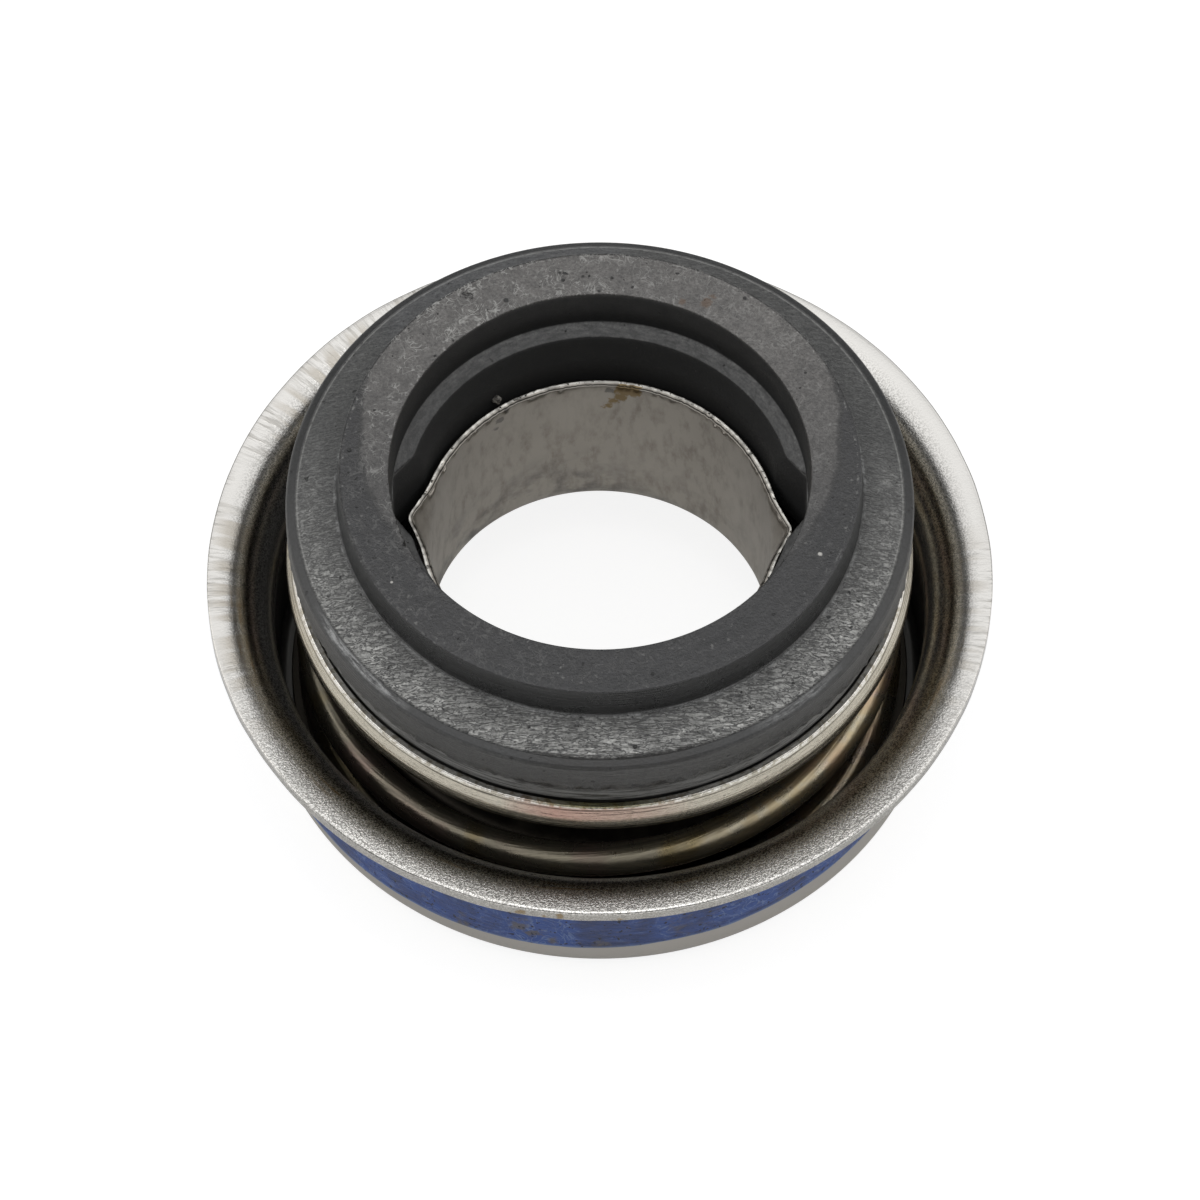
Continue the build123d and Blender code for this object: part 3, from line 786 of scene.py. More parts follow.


# Resin-bonded carbon graphite: nearly black with a graphite sheen. The face is lapped, worn lighter,
# granular and scratched inside the circle of its mating ring, and lighter towards the back partly by a
# painted sheen; the shoulder is as moulded, creased like leather, with painted highlights on its ridges and
# painted shade in its creases; the rim band is smooth with a rubbed patch and a painted dark reflection at
# the front; the ledge in the bore is rough and grey with painted highlight streaks; painted shade darkens
# the bore below the ledge and the nose wall at the front.
def carbonGraphite():
    look = {
        "body": "#252627", "face": "#2a2a2c", "arc": "#17191c", "worn": "#646260", "wall": "#343433",
        "shoulder": "#393a3a", "ridge": "#bdbdba", "fold": "#131415", "ledge": "#848483", "bore": "#0a0b0b",
        "hair": "#b9b9b6", "pore": "#050505", "rust": "#5f4c3c", "fleck": "#c9c7c2", "stain": "#56585d",
        "scorch": "#171412", "rubbed": "#8b8c8c",
        "wearCentre": (0.0, 2.0, 0.0),
        # marks (x, y, z, radius) that the photo shows one by one
        "pits": [(-1.53, 9.22, 15.95, 0.07), (-0.71, 9.42, 15.95, 0.07), (0.48, 9.33, 15.95, 0.06),
                 (5.92, 8.35, 15.95, 0.08), (-10.14, 0.88, 15.95, 0.09), (-3.86, 8.22, 15.95, 0.1),
                 (-11.9, 0.7, 14.0, 0.06), (2.1, -9.7, 15.95, 0.05)],
        "crackedPit": [(-5.46, 8.42, 15.95, 0.16), (-5.3, 8.3, 15.95, 0.1), (-5.6, 8.62, 15.95, 0.08)],
        "rustSpots": [(4.32, 8.1, 15.95, 0.24), (3.38, 8.15, 15.95, 0.13), (4.6, 8.4, 15.95, 0.1)],
        "flecks": [(8.83, -4.04, 15.95, 0.08), (-8.31, -5.42, 15.95, 0.05), (-7.3, -7.9, 15.95, 0.03),
                   (-10.2, -6.5, 14.2, 0.05), (11.0, -3.6, 14.1, 0.05)],
        "tornPlaces": [(9.3, -8.75, 12.15, 0.2), (7.0, -10.7, 12.2, 0.24), (1.4, -12.7, 12.15, 0.2),
                       (0.3, -12.77, 12.2, 0.14), (-2.2, -12.6, 12.15, 0.18), (-4.4, -12.0, 12.2, 0.22),
                       (-6.0, -11.3, 12.15, 0.2), (-7.2, -10.55, 12.2, 0.16)],
    }
    material, add = newMaterial("carbon graphite")
    at = ringCoordinates(add)
    path = add("Math", at["r"], at["z"], operation="SUBTRACT")
    onFace = add("MapRange", at["z"], carbon["face"] - 0.1, carbon["face"] - 0.04)
    onShoulder = add("Math", band(add, at["r"], 10.72, 12.36, 0.05), band(add, at["z"], 13.75, 14.75, 0.05),
        operation="MULTIPLY")
    onBand = add("Math", add("MapRange", at["r"], 12.32, 12.38), add("MapRange", at["z"], 13.5, 13.56),
        operation="MULTIPLY")
    onLedge = add("Math", add("MapRange", at["r"], 8.5, 8.44), band(add, at["z"], 13.84, 14.08, 0.02),
        operation="MULTIPLY")
    onWall = add("Math", add("MapRange", at["r"], 12.4, 12.5), add("MapRange", at["z"], 13.6, 13.66, 1.0, 0.0),
        operation="MULTIPLY")
    inBore = add("Math", add("MapRange", at["r"], 8.62, 8.55), add("MapRange", at["z"], 15.8, 15.7),
        operation="MULTIPLY")
    # wear: lighter inside a circle that sits a little off centre, and lighter towards the back, where the tone
    # is partly a painted sheen
    flat = add("CombineXYZ", at["x"], at["y"])
    away = add("VectorMath", flat, look["wearCentre"], operation="DISTANCE")
    cloud = add("TexNoise", at["mm"], scale=0.8, detail=4.0, roughness=0.6)
    fine = add("TexNoise", at["mm"], scale=2.6, detail=4.0, roughness=0.65)
    away = add("Math", cloud, 0.7, away, operation="MULTIPLY_ADD")
    worn = add("Math", add("MapRange", away, 9.95, 10.25, 1.0, 0.0),
        add("MapRange", at["y"], -5.0, 6.0, 0.18, 1.0), add("MapRange", cloud, 0.3, 0.6, 0.8, 1.0), onFace,
        operation="MULTIPLY")
    edge = add("Math", band(add, away, 10.05, 10.22, 0.06), onFace,
        add("MapRange", at["y"], -4.0, 3.0, 0.5, 1.0), operation="MULTIPLY")
    arris = add("Math", add("MapRange", at["r"], 10.45, 10.49), add("MapRange", at["z"], 15.78, 15.84),
        add("Math", add("MapRange", at["y"], 1.0, 4.0),
            add("Math", add("MapRange", at["x"], 0.0, -3.0), add("MapRange", at["y"], -8.0, -4.0),
                operation="MULTIPLY"), operation="MAXIMUM"), add("MapRange", fine, 0.36, 0.46, 0.3, 1.0),
        operation="MULTIPLY")
    chipped = add("Math", band(add, at["r"], 10.38, 10.46, 0.02), onFace, add("MapRange", at["y"], -8.0, 0.0),
        add("MapRange", add("TexNoise", at["mm"], scale=3.2, detail=3.0, roughness=0.7), 0.54, 0.6),
        operation="MULTIPLY")
    speckle = add("TexNoise", at["mm"], scale=9.0, detail=3.0, roughness=0.7)
    hairs = add("Math", hairLines(add, at["mm"], 1.1, 0.02, 1.2), hairLines(add, at["mm"], 2.0, 0.028, 0.8),
        operation="MAXIMUM")
    broken = add("MapRange", add("TexNoise", at["mm"], scale=1.1, detail=3.0, roughness=0.6), 0.43, 0.56)
    hairs = add("Math", hairs, broken, add("MapRange", at["x"], -5.0, 5.0, 1.0, 0.3),
        add("Math", worn, add("Math", onFace, 0.15, operation="MULTIPLY"), operation="MAXIMUM"),
        operation="MULTIPLY")
    grit = add("Math", onFace,
        add("MapRange", add("TexNoise", at["mm"], scale=5.0, detail=2.0, roughness=0.6), 0.62, 0.7),
        add("MapRange", add("TexNoise", at["mm"], scale=0.5, detail=2.0, roughness=0.5), 0.45, 0.6),
        operation="MULTIPLY")
    # painted highlight along the outer edge of the shoulder
    rimHighlight = add("Math", band(add, at["r"], 12.27, 12.33, 0.02), add("MapRange", at["z"], 13.4, 13.5),
        add("MapRange", at["y"], -7.0, -4.0), add("MapRange", fine, 0.4, 0.5, 0.4, 1.0), operation="MULTIPLY")
    # creases of the shoulder: folds 0.14 mm apart, stretched along x, because light from the back picks out
    # only the creases that run that way
    stretchedAlongX = add("CombineXYZ", add("Math", at["x"], 1.5, operation="MULTIPLY"),
        add("Math", at["y"], 7.0, operation="MULTIPLY"), add("Math", at["z"], 7.0, operation="MULTIPLY"))
    crease = add("TexNoise", stretchedAlongX, scale=1.0, detail=3.0, roughness=0.55, distortion=0.9)
    cut = add("MapRange", add("Math", add("Math", crease, 0.5, operation="SUBTRACT"), operation="ABSOLUTE"),
        0.0, 0.07)
    fold = add("Math", cut, 0.6, add("Math", add("MapRange", crease, 0.36, 0.64), 0.4, operation="MULTIPLY"),
        operation="MULTIPLY_ADD")
    # painted highlight, brighter towards the rim
    rimwardHighlight = add("MapRange", at["r"], 10.8, 11.7, 0.4, 1.0)
    # deepest relief, and strongest painted highlights and shade, at the front
    deep = add("MapRange", at["y"], 3.0, -7.0, 0.12, 1.0)
    colour = add("Mix", onFace, linear(look["body"]), linear(look["face"]), data_type="RGBA")
    arcs = add("TexNoise", ringVector(add, at, 2.0, 2.2, path), scale=1.0, detail=3.0, roughness=0.6)
    colour = add("Mix",
        add("Math", onFace, add("MapRange", arcs, 0.52, 0.38, 0.0, 0.55), add("MapRange", at["y"], 2.0, -4.0),
            operation="MULTIPLY"), colour, linear(look["arc"]), data_type="RGBA")
    colour = add("Mix", onWall, colour, linear(look["wall"]), data_type="RGBA")
    colour = add("Mix", worn, colour, linear(look["worn"]), data_type="RGBA")
    colour = add("Mix",
        add("Math", add("Math", edge, 0.5, operation="MULTIPLY"), add("Math", arris, 0.9, operation="MULTIPLY"),
            operation="MAXIMUM"), colour, linear(look["pore"]), data_type="RGBA")
    colour = add("Mix", add("Math", chipped, 0.3, operation="MULTIPLY"), colour, linear(look["hair"]),
        data_type="RGBA")
    # the shoulder's ridges are painted light as highlights and its creases painted dark as shade
    skin = add("Mix",
        add("Math", fold, deep, rimwardHighlight, add("MapRange", cloud, 0.3, 0.62, 0.5, 1.0), operation="MULTIPLY"),
        linear(look["shoulder"]), linear(look["ridge"]), data_type="RGBA")
    skin = add("Mix", add("Math", deep, add("MapRange", fold, 0.66, 0.2, 0.0, 0.95), operation="MULTIPLY"),
        skin, linear(look["fold"]), data_type="RGBA")
    colour = add("Mix", onShoulder, colour, skin, data_type="RGBA")
    foot = add("Math", band(add, add("Math", fine, 0.1, at["r"], operation="MULTIPLY_ADD"), 10.74, 10.86, 0.03),
        add("MapRange", at["z"], 15.0, 14.8), add("MapRange", fine, 0.45, 0.6), operation="MULTIPLY")
    colour = add("Mix", add("Math", foot, 0.6, operation="MULTIPLY"), colour, linear(look["rubbed"]),
        data_type="RGBA")
    # grey-blue stain on the far shoulder
    stain = add("Math", band(add, at["x"], -9.0, 1.0, 0.5), add("MapRange", at["y"], 6.5, 8.0), onShoulder,
        operation="MULTIPLY")
    colour = add("Mix", add("Math", stain, 0.3, operation="MULTIPLY"), colour, linear(look["stain"]),
        data_type="RGBA")
    # ledge: grey with streaks round the ring painted light as highlights, lighter at its outer side, and
    # painted darker towards the left as shade
    ledgeStreaks = add("TexNoise", ringVector(add, at, 16.0, 9.0, path), scale=1.0, detail=4.0, roughness=0.65)
    colour = add("Mix",
        add("Math", onLedge, add("MapRange", ledgeStreaks, 0.36, 0.62, 0.15, 1.0),
            add("MapRange", at["r"], 7.9, 8.3, 0.55, 1.0), add("MapRange", at["x"], -8.0, -3.0, 0.6, 1.0),
            operation="MULTIPLY"), colour, linear(look["ledge"]), data_type="RGBA")
    # rubbed patches on the rim band, front left and front right
    rub = add("MapRange",
        add("TexNoise", ringVector(add, at, 14.0, 6.0, path), scale=1.0, detail=4.0, roughness=0.7), 0.4, 0.56)
    patch = add("Math", band(add, at["x"], -11.4, -8.0, 0.5),
        add("Math", band(add, at["x"], 6.6, 9.2, 0.6), 0.6, operation="MULTIPLY"), operation="MAXIMUM")
    patch = add("Math", patch, add("MapRange", at["y"], -5.0, -6.5), band(add, at["r"], 12.42, 12.66, 0.05),
        onBand, rub, operation="MULTIPLY")
    colour = add("Mix", patch, colour, linear(look["rubbed"]), data_type="RGBA")
    # painted dark reflection at the front of the rim band and the shoulder's edge
    scorch = add("Math", band(add, at["x"], -2.6, 4.5, 0.8), add("MapRange", at["y"], -9.0, -11.0),
        add("Math", onBand, band(add, at["r"], 12.24, 12.4, 0.03), operation="MAXIMUM"),
        add("MapRange", fine, 0.38, 0.55, 0.3, 1.0), operation="MULTIPLY")
    colour = add("Mix", add("Math", scorch, 0.8, operation="MULTIPLY"), colour, linear(look["scorch"]),
        data_type="RGBA")
    grey = add("Math", add("MapRange", speckle, 0.3, 0.7, 0.5, 1.5),
        add("MapRange", fine, 0.35, 0.65, 0.85, 1.15), operation="MULTIPLY")
    colour = add("Mix", 1.0, colour, add("CombineColor", grey, grey, grey), data_type="RGBA",
        blend_type="MULTIPLY")
    # painted shade: the bore below the ledge is painted near black, more so deeper down
    colour = add("Mix",
        add("Math", inBore, add("MapRange", at["z"], 13.85, 13.4, 0.55, 0.97), operation="MULTIPLY"), colour,
        linear(look["bore"]), data_type="RGBA")
    # light scratches and grit, and the painted highlight along the shoulder's edge
    colour = add("Mix",
        add("Math", add("Math", hairs, 0.9, operation="MULTIPLY"),
            add("Math", grit, 0.25, operation="MULTIPLY"), add("Math", rimHighlight, 0.35, operation="MULTIPLY"),
            operation="MAXIMUM"), colour, linear(look["hair"]), data_type="RGBA")
    pits = spots(add, at, look["pits"], 0.12, 0.02)
    crack = spots(add, at, look["crackedPit"], 0.9, 0.03)
    pores = add("MapRange", add("TexNoise", at["mm"], scale=3.4, detail=1.0, roughness=0.4), 0.745, 0.77)
    pits = add("Math", pits, pores,
        add("Math", crack, hairLines(add, at["mm"], 3.0, 0.06), operation="MULTIPLY"), operation="MAXIMUM")
    colour = add("Mix", add("Math", pits, 0.95, operation="MULTIPLY"), colour, linear(look["pore"]),
        data_type="RGBA")
    rust = spots(add, at, look["rustSpots"], 0.6)
    colour = add("Mix", add("Math", rust, 0.8, operation="MULTIPLY"), colour, linear(look["rust"]),
        data_type="RGBA")
    flecks = spots(add, at, look["flecks"], 0.15, 0.02)
    colour = add("Mix", add("Math", flecks, 0.9, operation="MULTIPLY"), colour, linear(look["fleck"]),
        data_type="RGBA")
    # chewed lower edge of the wall: black cracks that run up from it
    chew = add("Math",
        add("MapRange",
            add("Math", add("MapRange", at["x"], 4.0, 8.0), -0.35, at["z"], operation="MULTIPLY_ADD"), 12.7,
            12.1), onWall,
        add("MapRange",
            add("TexNoise", ringVector(add, at, 34.0, 1.4, at["z"]), scale=1.0, detail=3.0, roughness=0.6), 0.5,
            0.6), add("MapRange", at["x"], -4.0, 5.0, 0.35, 1.0),
        add("MapRange", at["y"], -2.0, -6.0, 0.25, 1.0), operation="MULTIPLY")
    torn = spots(add, at, look["tornPlaces"], 1.2, 0.03)
    chew = add("Math", chew, add("Math", torn, onWall, operation="MULTIPLY"), operation="MAXIMUM")
    grime = add("Math", onWall, add("MapRange", at["x"], 3.0, 7.0), add("MapRange", at["y"], -3.0, -6.0),
        add("MapRange", at["z"], 13.2, 12.3),
        add("MapRange",
            add("TexNoise", ringVector(add, at, 50.0, 5.0, at["z"]), scale=1.0, detail=3.0, roughness=0.6), 0.5,
            0.56), operation="MULTIPLY")
    chew = add("Math", chew, grime, operation="MAXIMUM")
    colour = add("Mix", add("Math", chew, 0.85, operation="MULTIPLY"), colour, linear(look["pore"]),
        data_type="RGBA")
    turned = add("TexNoise", ringVector(add, at, 3.0, 9.0, path), scale=1.0, detail=4.0, roughness=0.65)
    noseWall = add("Math", band(add, at["r"], 10.5, 10.74, 0.03), add("MapRange", at["z"], 15.92, 15.86),
        operation="MULTIPLY")
    # painted shade: the nose wall is painted darker at the front
    colour = add("Mix",
        add("Math", noseWall, add("MapRange", turned, 0.42, 0.62, 1.0, 0.35),
            add("MapRange", at["y"], -6.0, -2.0, 1.0, 0.2), operation="MULTIPLY"), colour, linear(look["pore"]),
        data_type="RGBA")
    nearWall = add("Math", noseWall, add("MapRange", at["y"], -2.0, -6.0), operation="MULTIPLY")
    bump = add("Bump",
        height=add("Math", crease, onShoulder, add("MapRange", deep, 0.0, 1.0, 0.3, 1.0), operation="MULTIPLY"),
        strength=1.0, distance=0.14 * millimetre)
    bump = add("Bump",
        height=add("Math", speckle, add("Math", onFace, 0.7, 0.3, operation="MULTIPLY_ADD"),
            operation="MULTIPLY"), strength=0.8, distance=0.06 * millimetre, normal=bump)
    bump = add("Bump",
        height=add("Math", turned,
            add("Math", onWall, add("Math", noseWall, 0.5, operation="MULTIPLY"), operation="MAXIMUM"),
            operation="MULTIPLY"), strength=0.6, distance=0.08 * millimetre, normal=bump)
    bump = add("Bump",
        height=add("Math", add("Math", hairs, 0.4, operation="MULTIPLY"),
            add("Math", pits, chew, operation="MAXIMUM"), operation="SUBTRACT"),
        strength=0.8, distance=0.04 * millimetre, normal=bump)
    rough = add("Math", add("MapRange", cloud, 0.3, 0.7, 0.38, 0.46),
        add("Math", onShoulder, -0.06, operation="MULTIPLY"),
        add("Math", nearWall, -0.14, operation="MULTIPLY"),
        add("Math", inBore, add("MapRange", at["z"], 13.85, 13.7, 0.12, 0.4), operation="MULTIPLY"),
        operation="ADD")
    add("OutputMaterial", add("BsdfPrincipled", ior=1.72, baseColor=colour, roughness=rough, normal=bump))
    return material


# Moulded nitrile rubber: black, half matt, streaked where it was squeezed out over the ring, with a painted
# highlight band on that lip and painted shade under the carbon wall and above the ring.
def mouldedRubber():
    look = {"black": "#3d3e3e", "streak": "#868685", "waxy": "#848483", "edge": "#0a0a0a", "line": "#070707"}
    material, add = newMaterial("moulded nitrile rubber")
    at = ringCoordinates(add)
    skin = add("TexNoise", at["mm"], scale=3.0, detail=4.0, roughness=0.6)
    streaks = add("TexNoise", ringVector(add, at, 5.0, 6.0, at["z"]), scale=1.0, detail=4.0, roughness=0.65,
        distortion=0.6)
    lines = hairLines(add, ringVector(add, at, 2.5, 3.0, at["z"]), 1.0, 0.03, 0.5)
    colour = add("Mix", add("MapRange", streaks, 0.35, 0.65), linear(look["black"]), linear(look["streak"]),
        data_type="RGBA")
    # painted highlight band on the squeezed-out lip
    colour = add("Mix",
        add("Math", band(add, at["z"], 10.6, 11.3, 0.1), add("MapRange", streaks, 0.4, 0.6), 0.6,
            operation="MULTIPLY"), colour, linear(look["waxy"]), data_type="RGBA")
    # painted shade under the carbon wall
    colour = add("Mix",
        add("MapRange", add("Math", skin, 0.3, at["z"], operation="MULTIPLY_ADD"), 11.58, 11.7, 0.0, 0.9),
        colour, linear(look["edge"]), data_type="RGBA")
    colour = add("Mix", add("Math", lines, 0.8, operation="MULTIPLY"), colour, linear(look["line"]),
        data_type="RGBA")
    # painted shade in the gap above the retainer ring's lip
    colour = add("Mix", band(add, at["z"], 10.2, 10.52, 0.05), colour, linear(look["edge"]), data_type="RGBA")
    bump = add("Bump", height=skin, strength=0.5, distance=0.04 * millimetre)
    bump = add("Bump", height=streaks, strength=0.9, distance=0.12 * millimetre, normal=bump)
    bump = add("Bump", height=lines, strength=-0.8, distance=0.06 * millimetre, normal=bump)
    add("OutputMaterial",
        add("BsdfPrincipled", ior=1.52, baseColor=colour, roughness=add("MapRange", skin, 0.3, 0.7, 0.3, 0.5),
            normal=bump))
    return material


# Rolled bright stainless ring: smoother than the case, straw-grey with a rose tint at the front, a
# painted highlight line on its lip with a painted shade line under it, fine pits along its lower half and
# painted shade darkening that half.
def rolledBrightSteel():
    look = {"steel": "#c8c2b4", "rose": "#b48a7e", "pitted": "#6e685c", "lower": "#5d574a", "lip": "#fbf9f4",
            "groove": "#2f2c28", "straw": "#8d8a4e"}
    material, add = newMaterial("rolled bright steel")
    at = ringCoordinates(add)
    lines = add("TexNoise", ringVector(add, at, 4.0, 10.0, at["z"]), scale=1.0, detail=3.0, roughness=0.55)
    grain = add("TexNoise", at["mm"], scale=7.5, detail=3.0, roughness=0.7)
    rose = add("Math", add("MapRange", at["sin"], -0.95, -0.99), band(add, at["z"], 9.75, 10.5, 0.12),
        add("MapRange", at["x"], -4.5, 3.5, 1.0, 0.35), operation="MULTIPLY")
    straw = add("Math", add("MapRange", at["sin"], -0.97, -1.0), add("MapRange", at["z"], 10.3, 10.4),
        operation="MULTIPLY")
    # painted highlight along the top of the lip
    lip = add("Math", add("MapRange", at["z"], 10.28, 10.34),
        add("MapRange", add("TexNoise", at["mm"], scale=4.0, detail=3.0, roughness=0.6), 0.4, 0.52),
        operation="MULTIPLY")
    # painted shade line just under the lip
    groove = band(add, add("Math", lines, 0.08, at["z"], operation="MULTIPLY_ADD"), 10.26, 10.3, 0.015)
    colour = add("Mix", rose, linear(look["steel"]), linear(look["rose"]), data_type="RGBA")
    colour = add("Mix",
        add("Math", add("MapRange", grain, 0.55, 0.35), add("MapRange", at["z"], 9.9, 9.5, 0.15, 0.6),
            operation="MULTIPLY"), colour, linear(look["pitted"]), data_type="RGBA")
    # painted shade darkening the lower half of the ring
    lower = add("MapRange", add("Math", lines, 0.5, at["z"], operation="MULTIPLY_ADD"), 10.1, 9.6)
    colour = add("Mix", add("Math", lower, add("MapRange", at["x"], 2.0, 7.0, 0.6, 0.0), operation="MULTIPLY"),
        colour, linear(look["lower"]), data_type="RGBA")
    colour = add("Mix", add("Math", lip, 0.8, operation="MULTIPLY"), colour, linear(look["lip"]),
        data_type="RGBA")
    colour = add("Mix", add("Math", groove, 0.8, operation="MULTIPLY"), colour, linear(look["groove"]),
        data_type="RGBA")
    colour = add("Mix", add("Math", straw, 0.8, operation="MULTIPLY"), colour, linear(look["straw"]),
        data_type="RGBA")
    bump = add("Bump", height=lines, strength=0.5, distance=0.05 * millimetre)
    bump = add("Bump", height=grain, strength=0.5, distance=0.025 * millimetre, normal=bump)
    add("OutputMaterial",
        add("BsdfPrincipled", metallic=1.0, baseColor=colour,
            roughness=add("MapRange", lines, 0.3, 0.7, 0.13, 0.22), normal=bump))
    return material


# Hard-drawn spring wire: olive-grey metal with a thin oily film, drawn smooth, gold and rose in places,
# with painted shade on its left and a painted gold highlight on its right.
def drawnSpringWire():
    look = {"wire": "#b3ab97", "rosy": "#b59f93", "gold": "#b09f76", "drawn": "#5a564d", "leftSide": "#47443e",
            "rightSide": "#bfa777"}
    material, add = newMaterial("drawn spring wire")
    at = ringCoordinates(add)
    cloud = add("TexNoise", at["mm"], scale=1.2, detail=3.0, roughness=0.5)
    tint = add("TexNoise", at["mm"], scale=0.3, detail=2.0, roughness=0.5)
    grain = add("TexNoise", at["mm"], scale=6.0, detail=3.0, roughness=0.65)
    drawn = add("TexNoise", ringVector(add, at, 2.0, 9.0, add("Math", at["z"], at["r"], operation="ADD")),
        scale=1.0, detail=3.0, roughness=0.6)
    colour = add("Mix", add("MapRange", tint, 0.5, 0.62), linear(look["wire"]), linear(look["rosy"]),
        data_type="RGBA")
    colour = add("Mix", add("MapRange", tint, 0.42, 0.34), colour, linear(look["gold"]), data_type="RGBA")
    colour = add("Mix", add("Math", add("MapRange", drawn, 0.55, 0.4), 0.4, operation="MULTIPLY"), colour,
        linear(look["drawn"]), data_type="RGBA")
    # painted shade on the left side of the coil
    colour = add("Mix", add("MapRange", at["x"], 3.0, -7.0, 0.0, 0.6), colour, linear(look["leftSide"]),
        data_type="RGBA")
    # painted gold highlight on the right side of the coil
    colour = add("Mix",
        add("Math", add("MapRange", at["x"], 3.0, 7.0, 0.0, 0.4), add("MapRange", cloud, 0.4, 0.55),
            operation="MULTIPLY"), colour, linear(look["rightSide"]), data_type="RGBA")
    bump = add("Bump", height=grain, strength=0.5, distance=0.02 * millimetre)
    bump = add("Bump", height=drawn, strength=0.5, distance=0.06 * millimetre, normal=bump)
    add("OutputMaterial",
        add("BsdfPrincipled", metallic=0.88, baseColor=colour, normal=bump,
            roughness=add("MapRange", cloud, 0.3, 0.7, 0.24, 0.34)))
    return material


# Plain pressed seat of the spring, dark with old grease.
def greasySeat():
    look = {"dark": "#34312d", "worn": "#4a463f"}
    material, add = newMaterial("greasy pressed steel")
    at = ringCoordinates(add)
    cloud = add("TexNoise", at["mm"], scale=1.0, detail=4.0, roughness=0.6)
    colour = add("Mix", add("MapRange", cloud, 0.3, 0.7), linear(look["dark"]), linear(look["worn"]),
        data_type="RGBA")
    add("OutputMaterial",
        add("BsdfPrincipled", metallic=1.0, baseColor=colour,
            roughness=add("MapRange", cloud, 0.3, 0.7, 0.4, 0.6),
            normal=add("Bump", height=cloud, strength=0.3, distance=0.05 * millimetre)))
    return material


# Dried grease: a grey, half clear lump with a wet shine on top.
def oldGrease():
    look = {"dark": "#3b3a37", "clear": "#8b8882"}
    material, add = newMaterial("dried grease")
    at = ringCoordinates(add)
    cloud = add("TexNoise", at["mm"], scale=6.0, detail=2.0, roughness=0.5)
    add("OutputMaterial",
        add("BsdfPrincipled", roughness=0.22,
            baseColor=add("Mix", add("MapRange", cloud, 0.4, 0.6), linear(look["dark"]), linear(look["clear"]),
                data_type="RGBA")))
    return material


stainless = drawnStainless()
dressing = [
    # piece, material, record slot, CAD node it stands for, body or bodies
    (caseObject, stainless, "stainless_sheet", "case", "cartridge"),
    (sealantObject, driedSealant(), "sealant", "sealant_band", "cartridge"),
    (carbonObject, carbonGraphite(), "carbon", "carbon_ring", "head"),
    (retainerObject, rolledBrightSteel(), "ring_steel", "retainer_ring", "head"),
    (bellowsObject, mouldedRubber(), "rubber", "bellows", None),
    (seatObject, greasySeat(), "ring_steel", "spring_seat", "cartridge"),
    (springObject, drawnSpringWire(), "spring_wire", "coil_spring", None),
]
for obj, material, slotName, node, body in dressing:
    obj.data.materials.append(material)
    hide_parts(node)
    if body:
        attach(obj, body)
crumbObject.data.materials.append(oldGrease())
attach(crumbObject, "cartridge")
for node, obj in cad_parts.items():
    if not obj.data.materials:
        obj.data.materials.append(stainless)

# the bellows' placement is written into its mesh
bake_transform(bellowsObject)
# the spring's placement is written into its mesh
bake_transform(springObject)
print("materials and bodies set")


# Studio: pale floor, soft light from above, dark round the horizon.
studio = {
    # paper floor as the object sees it; the camera sees less of its shading and some light of its own
    "paper": "#f6f6f5", "seenPaper": 0.33, "seenLift": 0.86, "unseenLift": 0.14, "paperHalf": 1500,
    # name: where it hangs (m), size (m), radiance, colour
    "boxes": {
        "overhead": ((0.0, -0.02, 0.55), (0.20, 0.16), 1.9, "#ffffff"),
        "left": ((-0.46, 0.06, 0.30), (0.50, 0.34), 1.0, "#fffdfa"),
        "right": ((0.46, 0.06, 0.30), (0.50, 0.34), 0.85, "#fffdfa"),
    },
    # brightness of the room by the sine of the height above the horizon
    "room": ((-1.0, 0.03), (0.0, 0.06), (0.34, 0.12), (0.5, 0.22), (0.64, 0.5), (0.77, 0.8), (0.87, 0.95),
             (1.0, 1.0)),
    "roomStrength": 1.05,
    # dark patch in front of the light: direction, cosines of its outer and inner edge, what is left
    "shade": ((0.0, -0.5305, 0.8477), 0.955, 0.985, 0.25),
}

corners = np.array([[-1, -1, 0], [1, -1, 0], [1, 1, 0], [-1, 1, 0]]) * studio["paperHalf"] - (0, 0, 0.01)
floorMesh = meshFrom("studio_floor", corners, np.array([[0, 1, 2, 3]]))
floorMaterial, add = newMaterial("white paper floor")
seen = add("LightPath", out="Is Camera Ray")
pale = linear(studio["paper"])
dimmed = (*[v * studio["seenPaper"] for v in pale[:3]], 1.0)
paper = add("BsdfDiffuse", add("Mix", seen, pale, dimmed, data_type="RGBA"))
glow = add("MapRange", seen, 0.0, 1.0, studio["unseenLift"], studio["seenLift"])
add("OutputMaterial", add("AddShader", paper, add("Emission", (1, 1, 1, 1), glow)))
floorMesh.data.materials.append(floorMaterial)

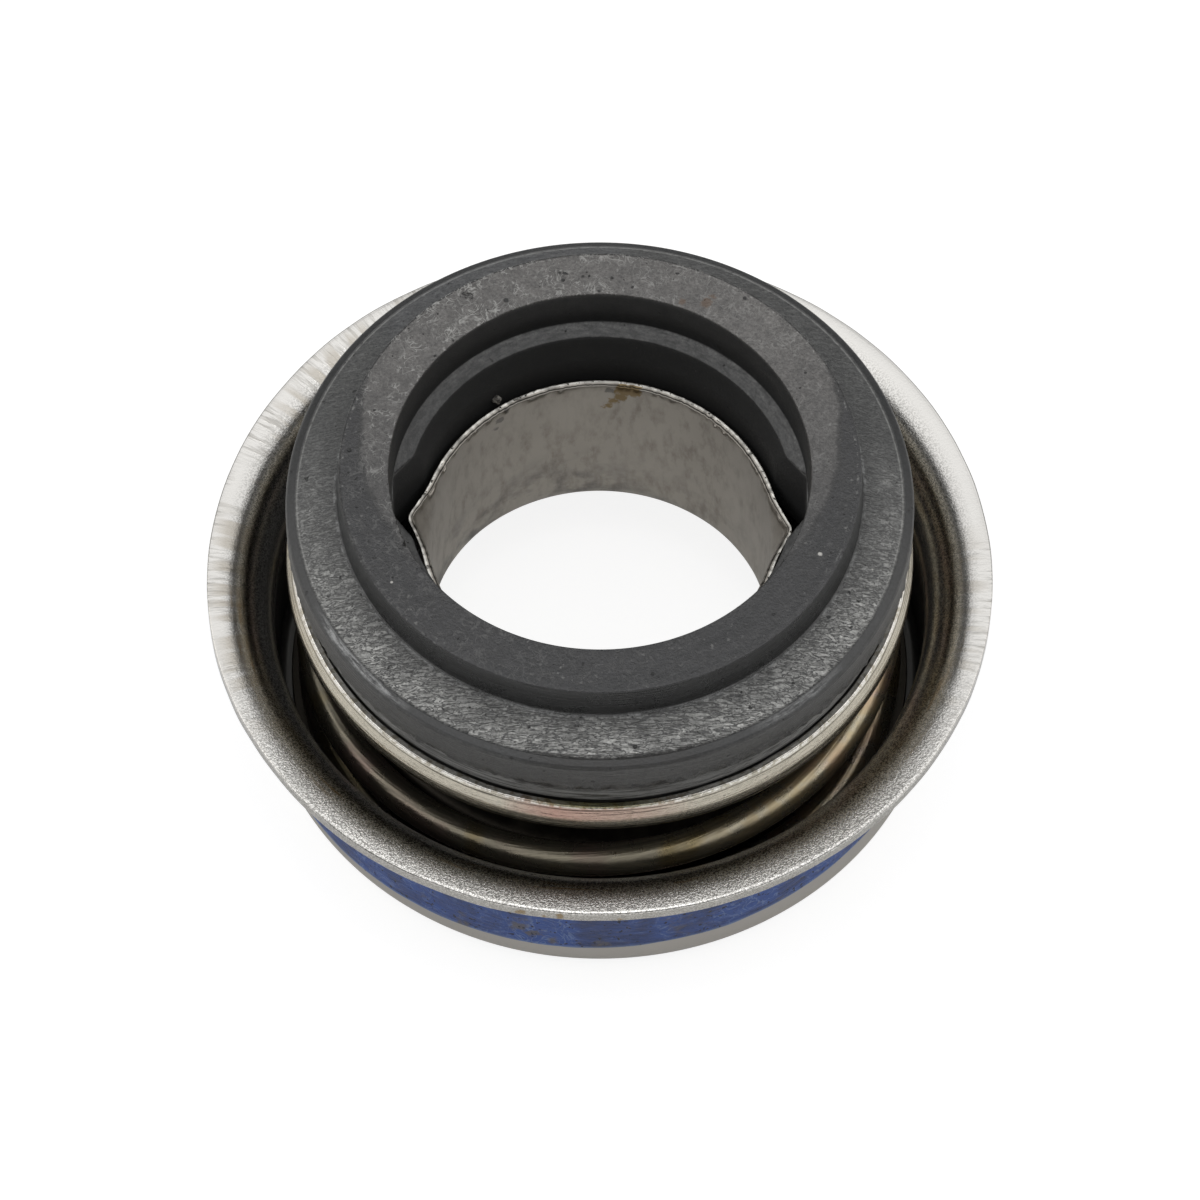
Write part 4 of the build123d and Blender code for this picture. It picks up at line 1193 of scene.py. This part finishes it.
for name, (place, size, radiance, colour) in studio["boxes"].items():
    lamp = bpy.data.lights.new(name, "AREA")
    lamp.shape = "RECTANGLE"
    lamp.size, lamp.size_y = size
    lamp.energy = radiance * math.pi * size[0] * size[1]
    lamp.color = linear(colour)[:3]
    holder = bpy.data.objects.new("box_" + name, lamp)
    holder.location = place
    holder.rotation_mode = "QUATERNION"
    holder.rotation_quaternion = (Vector(place) - Vector((0, 0, 0.008))).to_track_quat("Z", "Y")
    bpy.context.scene.collection.objects.link(holder)

world = bpy.data.worlds.new("studio")
world.use_nodes = True
bpy.context.scene.world = world
world.node_tree.nodes.clear()
add = partial(addNode, world.node_tree)
direction = add("TexCoord", out="Generated")
up = add("SeparateXYZ", direction, out="Z")
ramp = add("ValToRGB", add("MapRange", up, -1.0, 1.0))
stops = ramp.node.color_ramp.elements
for i, (height, bright) in enumerate(studio["room"]):
    position = (height + 1) / 2
    stop = stops[i] if i < 2 else stops.new(position)
    stop.position = position
    stop.color = (bright, bright, bright, 1.0)
towards, outer, inner, left = studio["shade"]
facing = add("VectorMath", direction, towards, operation="DOT_PRODUCT")
strength = add("Math", add("MapRange", facing, outer, inner, 1.0, left), studio["roomStrength"],
    operation="MULTIPLY")
room = add("Background", ramp, strength)
white = add("Background", (1, 1, 1, 1), 1.0)
add("OutputWorld", add("MixShader", add("LightPath", out="Is Camera Ray"), room, white))
print("studio:", len(studio["boxes"]), "lamps")

# Camera, from the fit of the ring ellipses in the photograph.
shot = {"elevation": 57.96, "distance": 0.32778, "lens": 238.66, "roll": 0.134,
        "aim": (0.000015, -0.001096), "height": 0.00804}
e = math.radians(shot["elevation"])
forward = Vector((0, math.cos(e), -math.sin(e)))
upward = Vector((0, math.sin(e), math.cos(e)))
right = Vector((1, 0, 0))
aim = Vector((0, 0, shot["height"])) + right * shot["aim"][0] + upward * shot["aim"][1]
camera = bpy.data.cameras.new("photo camera")
camera.sensor_width = 36.0
camera.lens = shot["lens"]
camera.clip_start, camera.clip_end = 0.01, 20.0
cameraObject = bpy.data.objects.new("photo_camera", camera)
turn = Matrix((right, upward, -forward)).transposed().to_4x4()
cameraObject.matrix_world = (Matrix.Translation(aim - forward * shot["distance"]) @ turn
                             @ Matrix.Rotation(math.radians(shot["roll"]), 4, "Z"))
bpy.context.scene.collection.objects.link(cameraObject)
bpy.context.scene.camera = cameraObject

bpy.context.scene.view_settings.view_transform = "Standard"
print("camera set", round(camera.lens, 2), "mm lens")
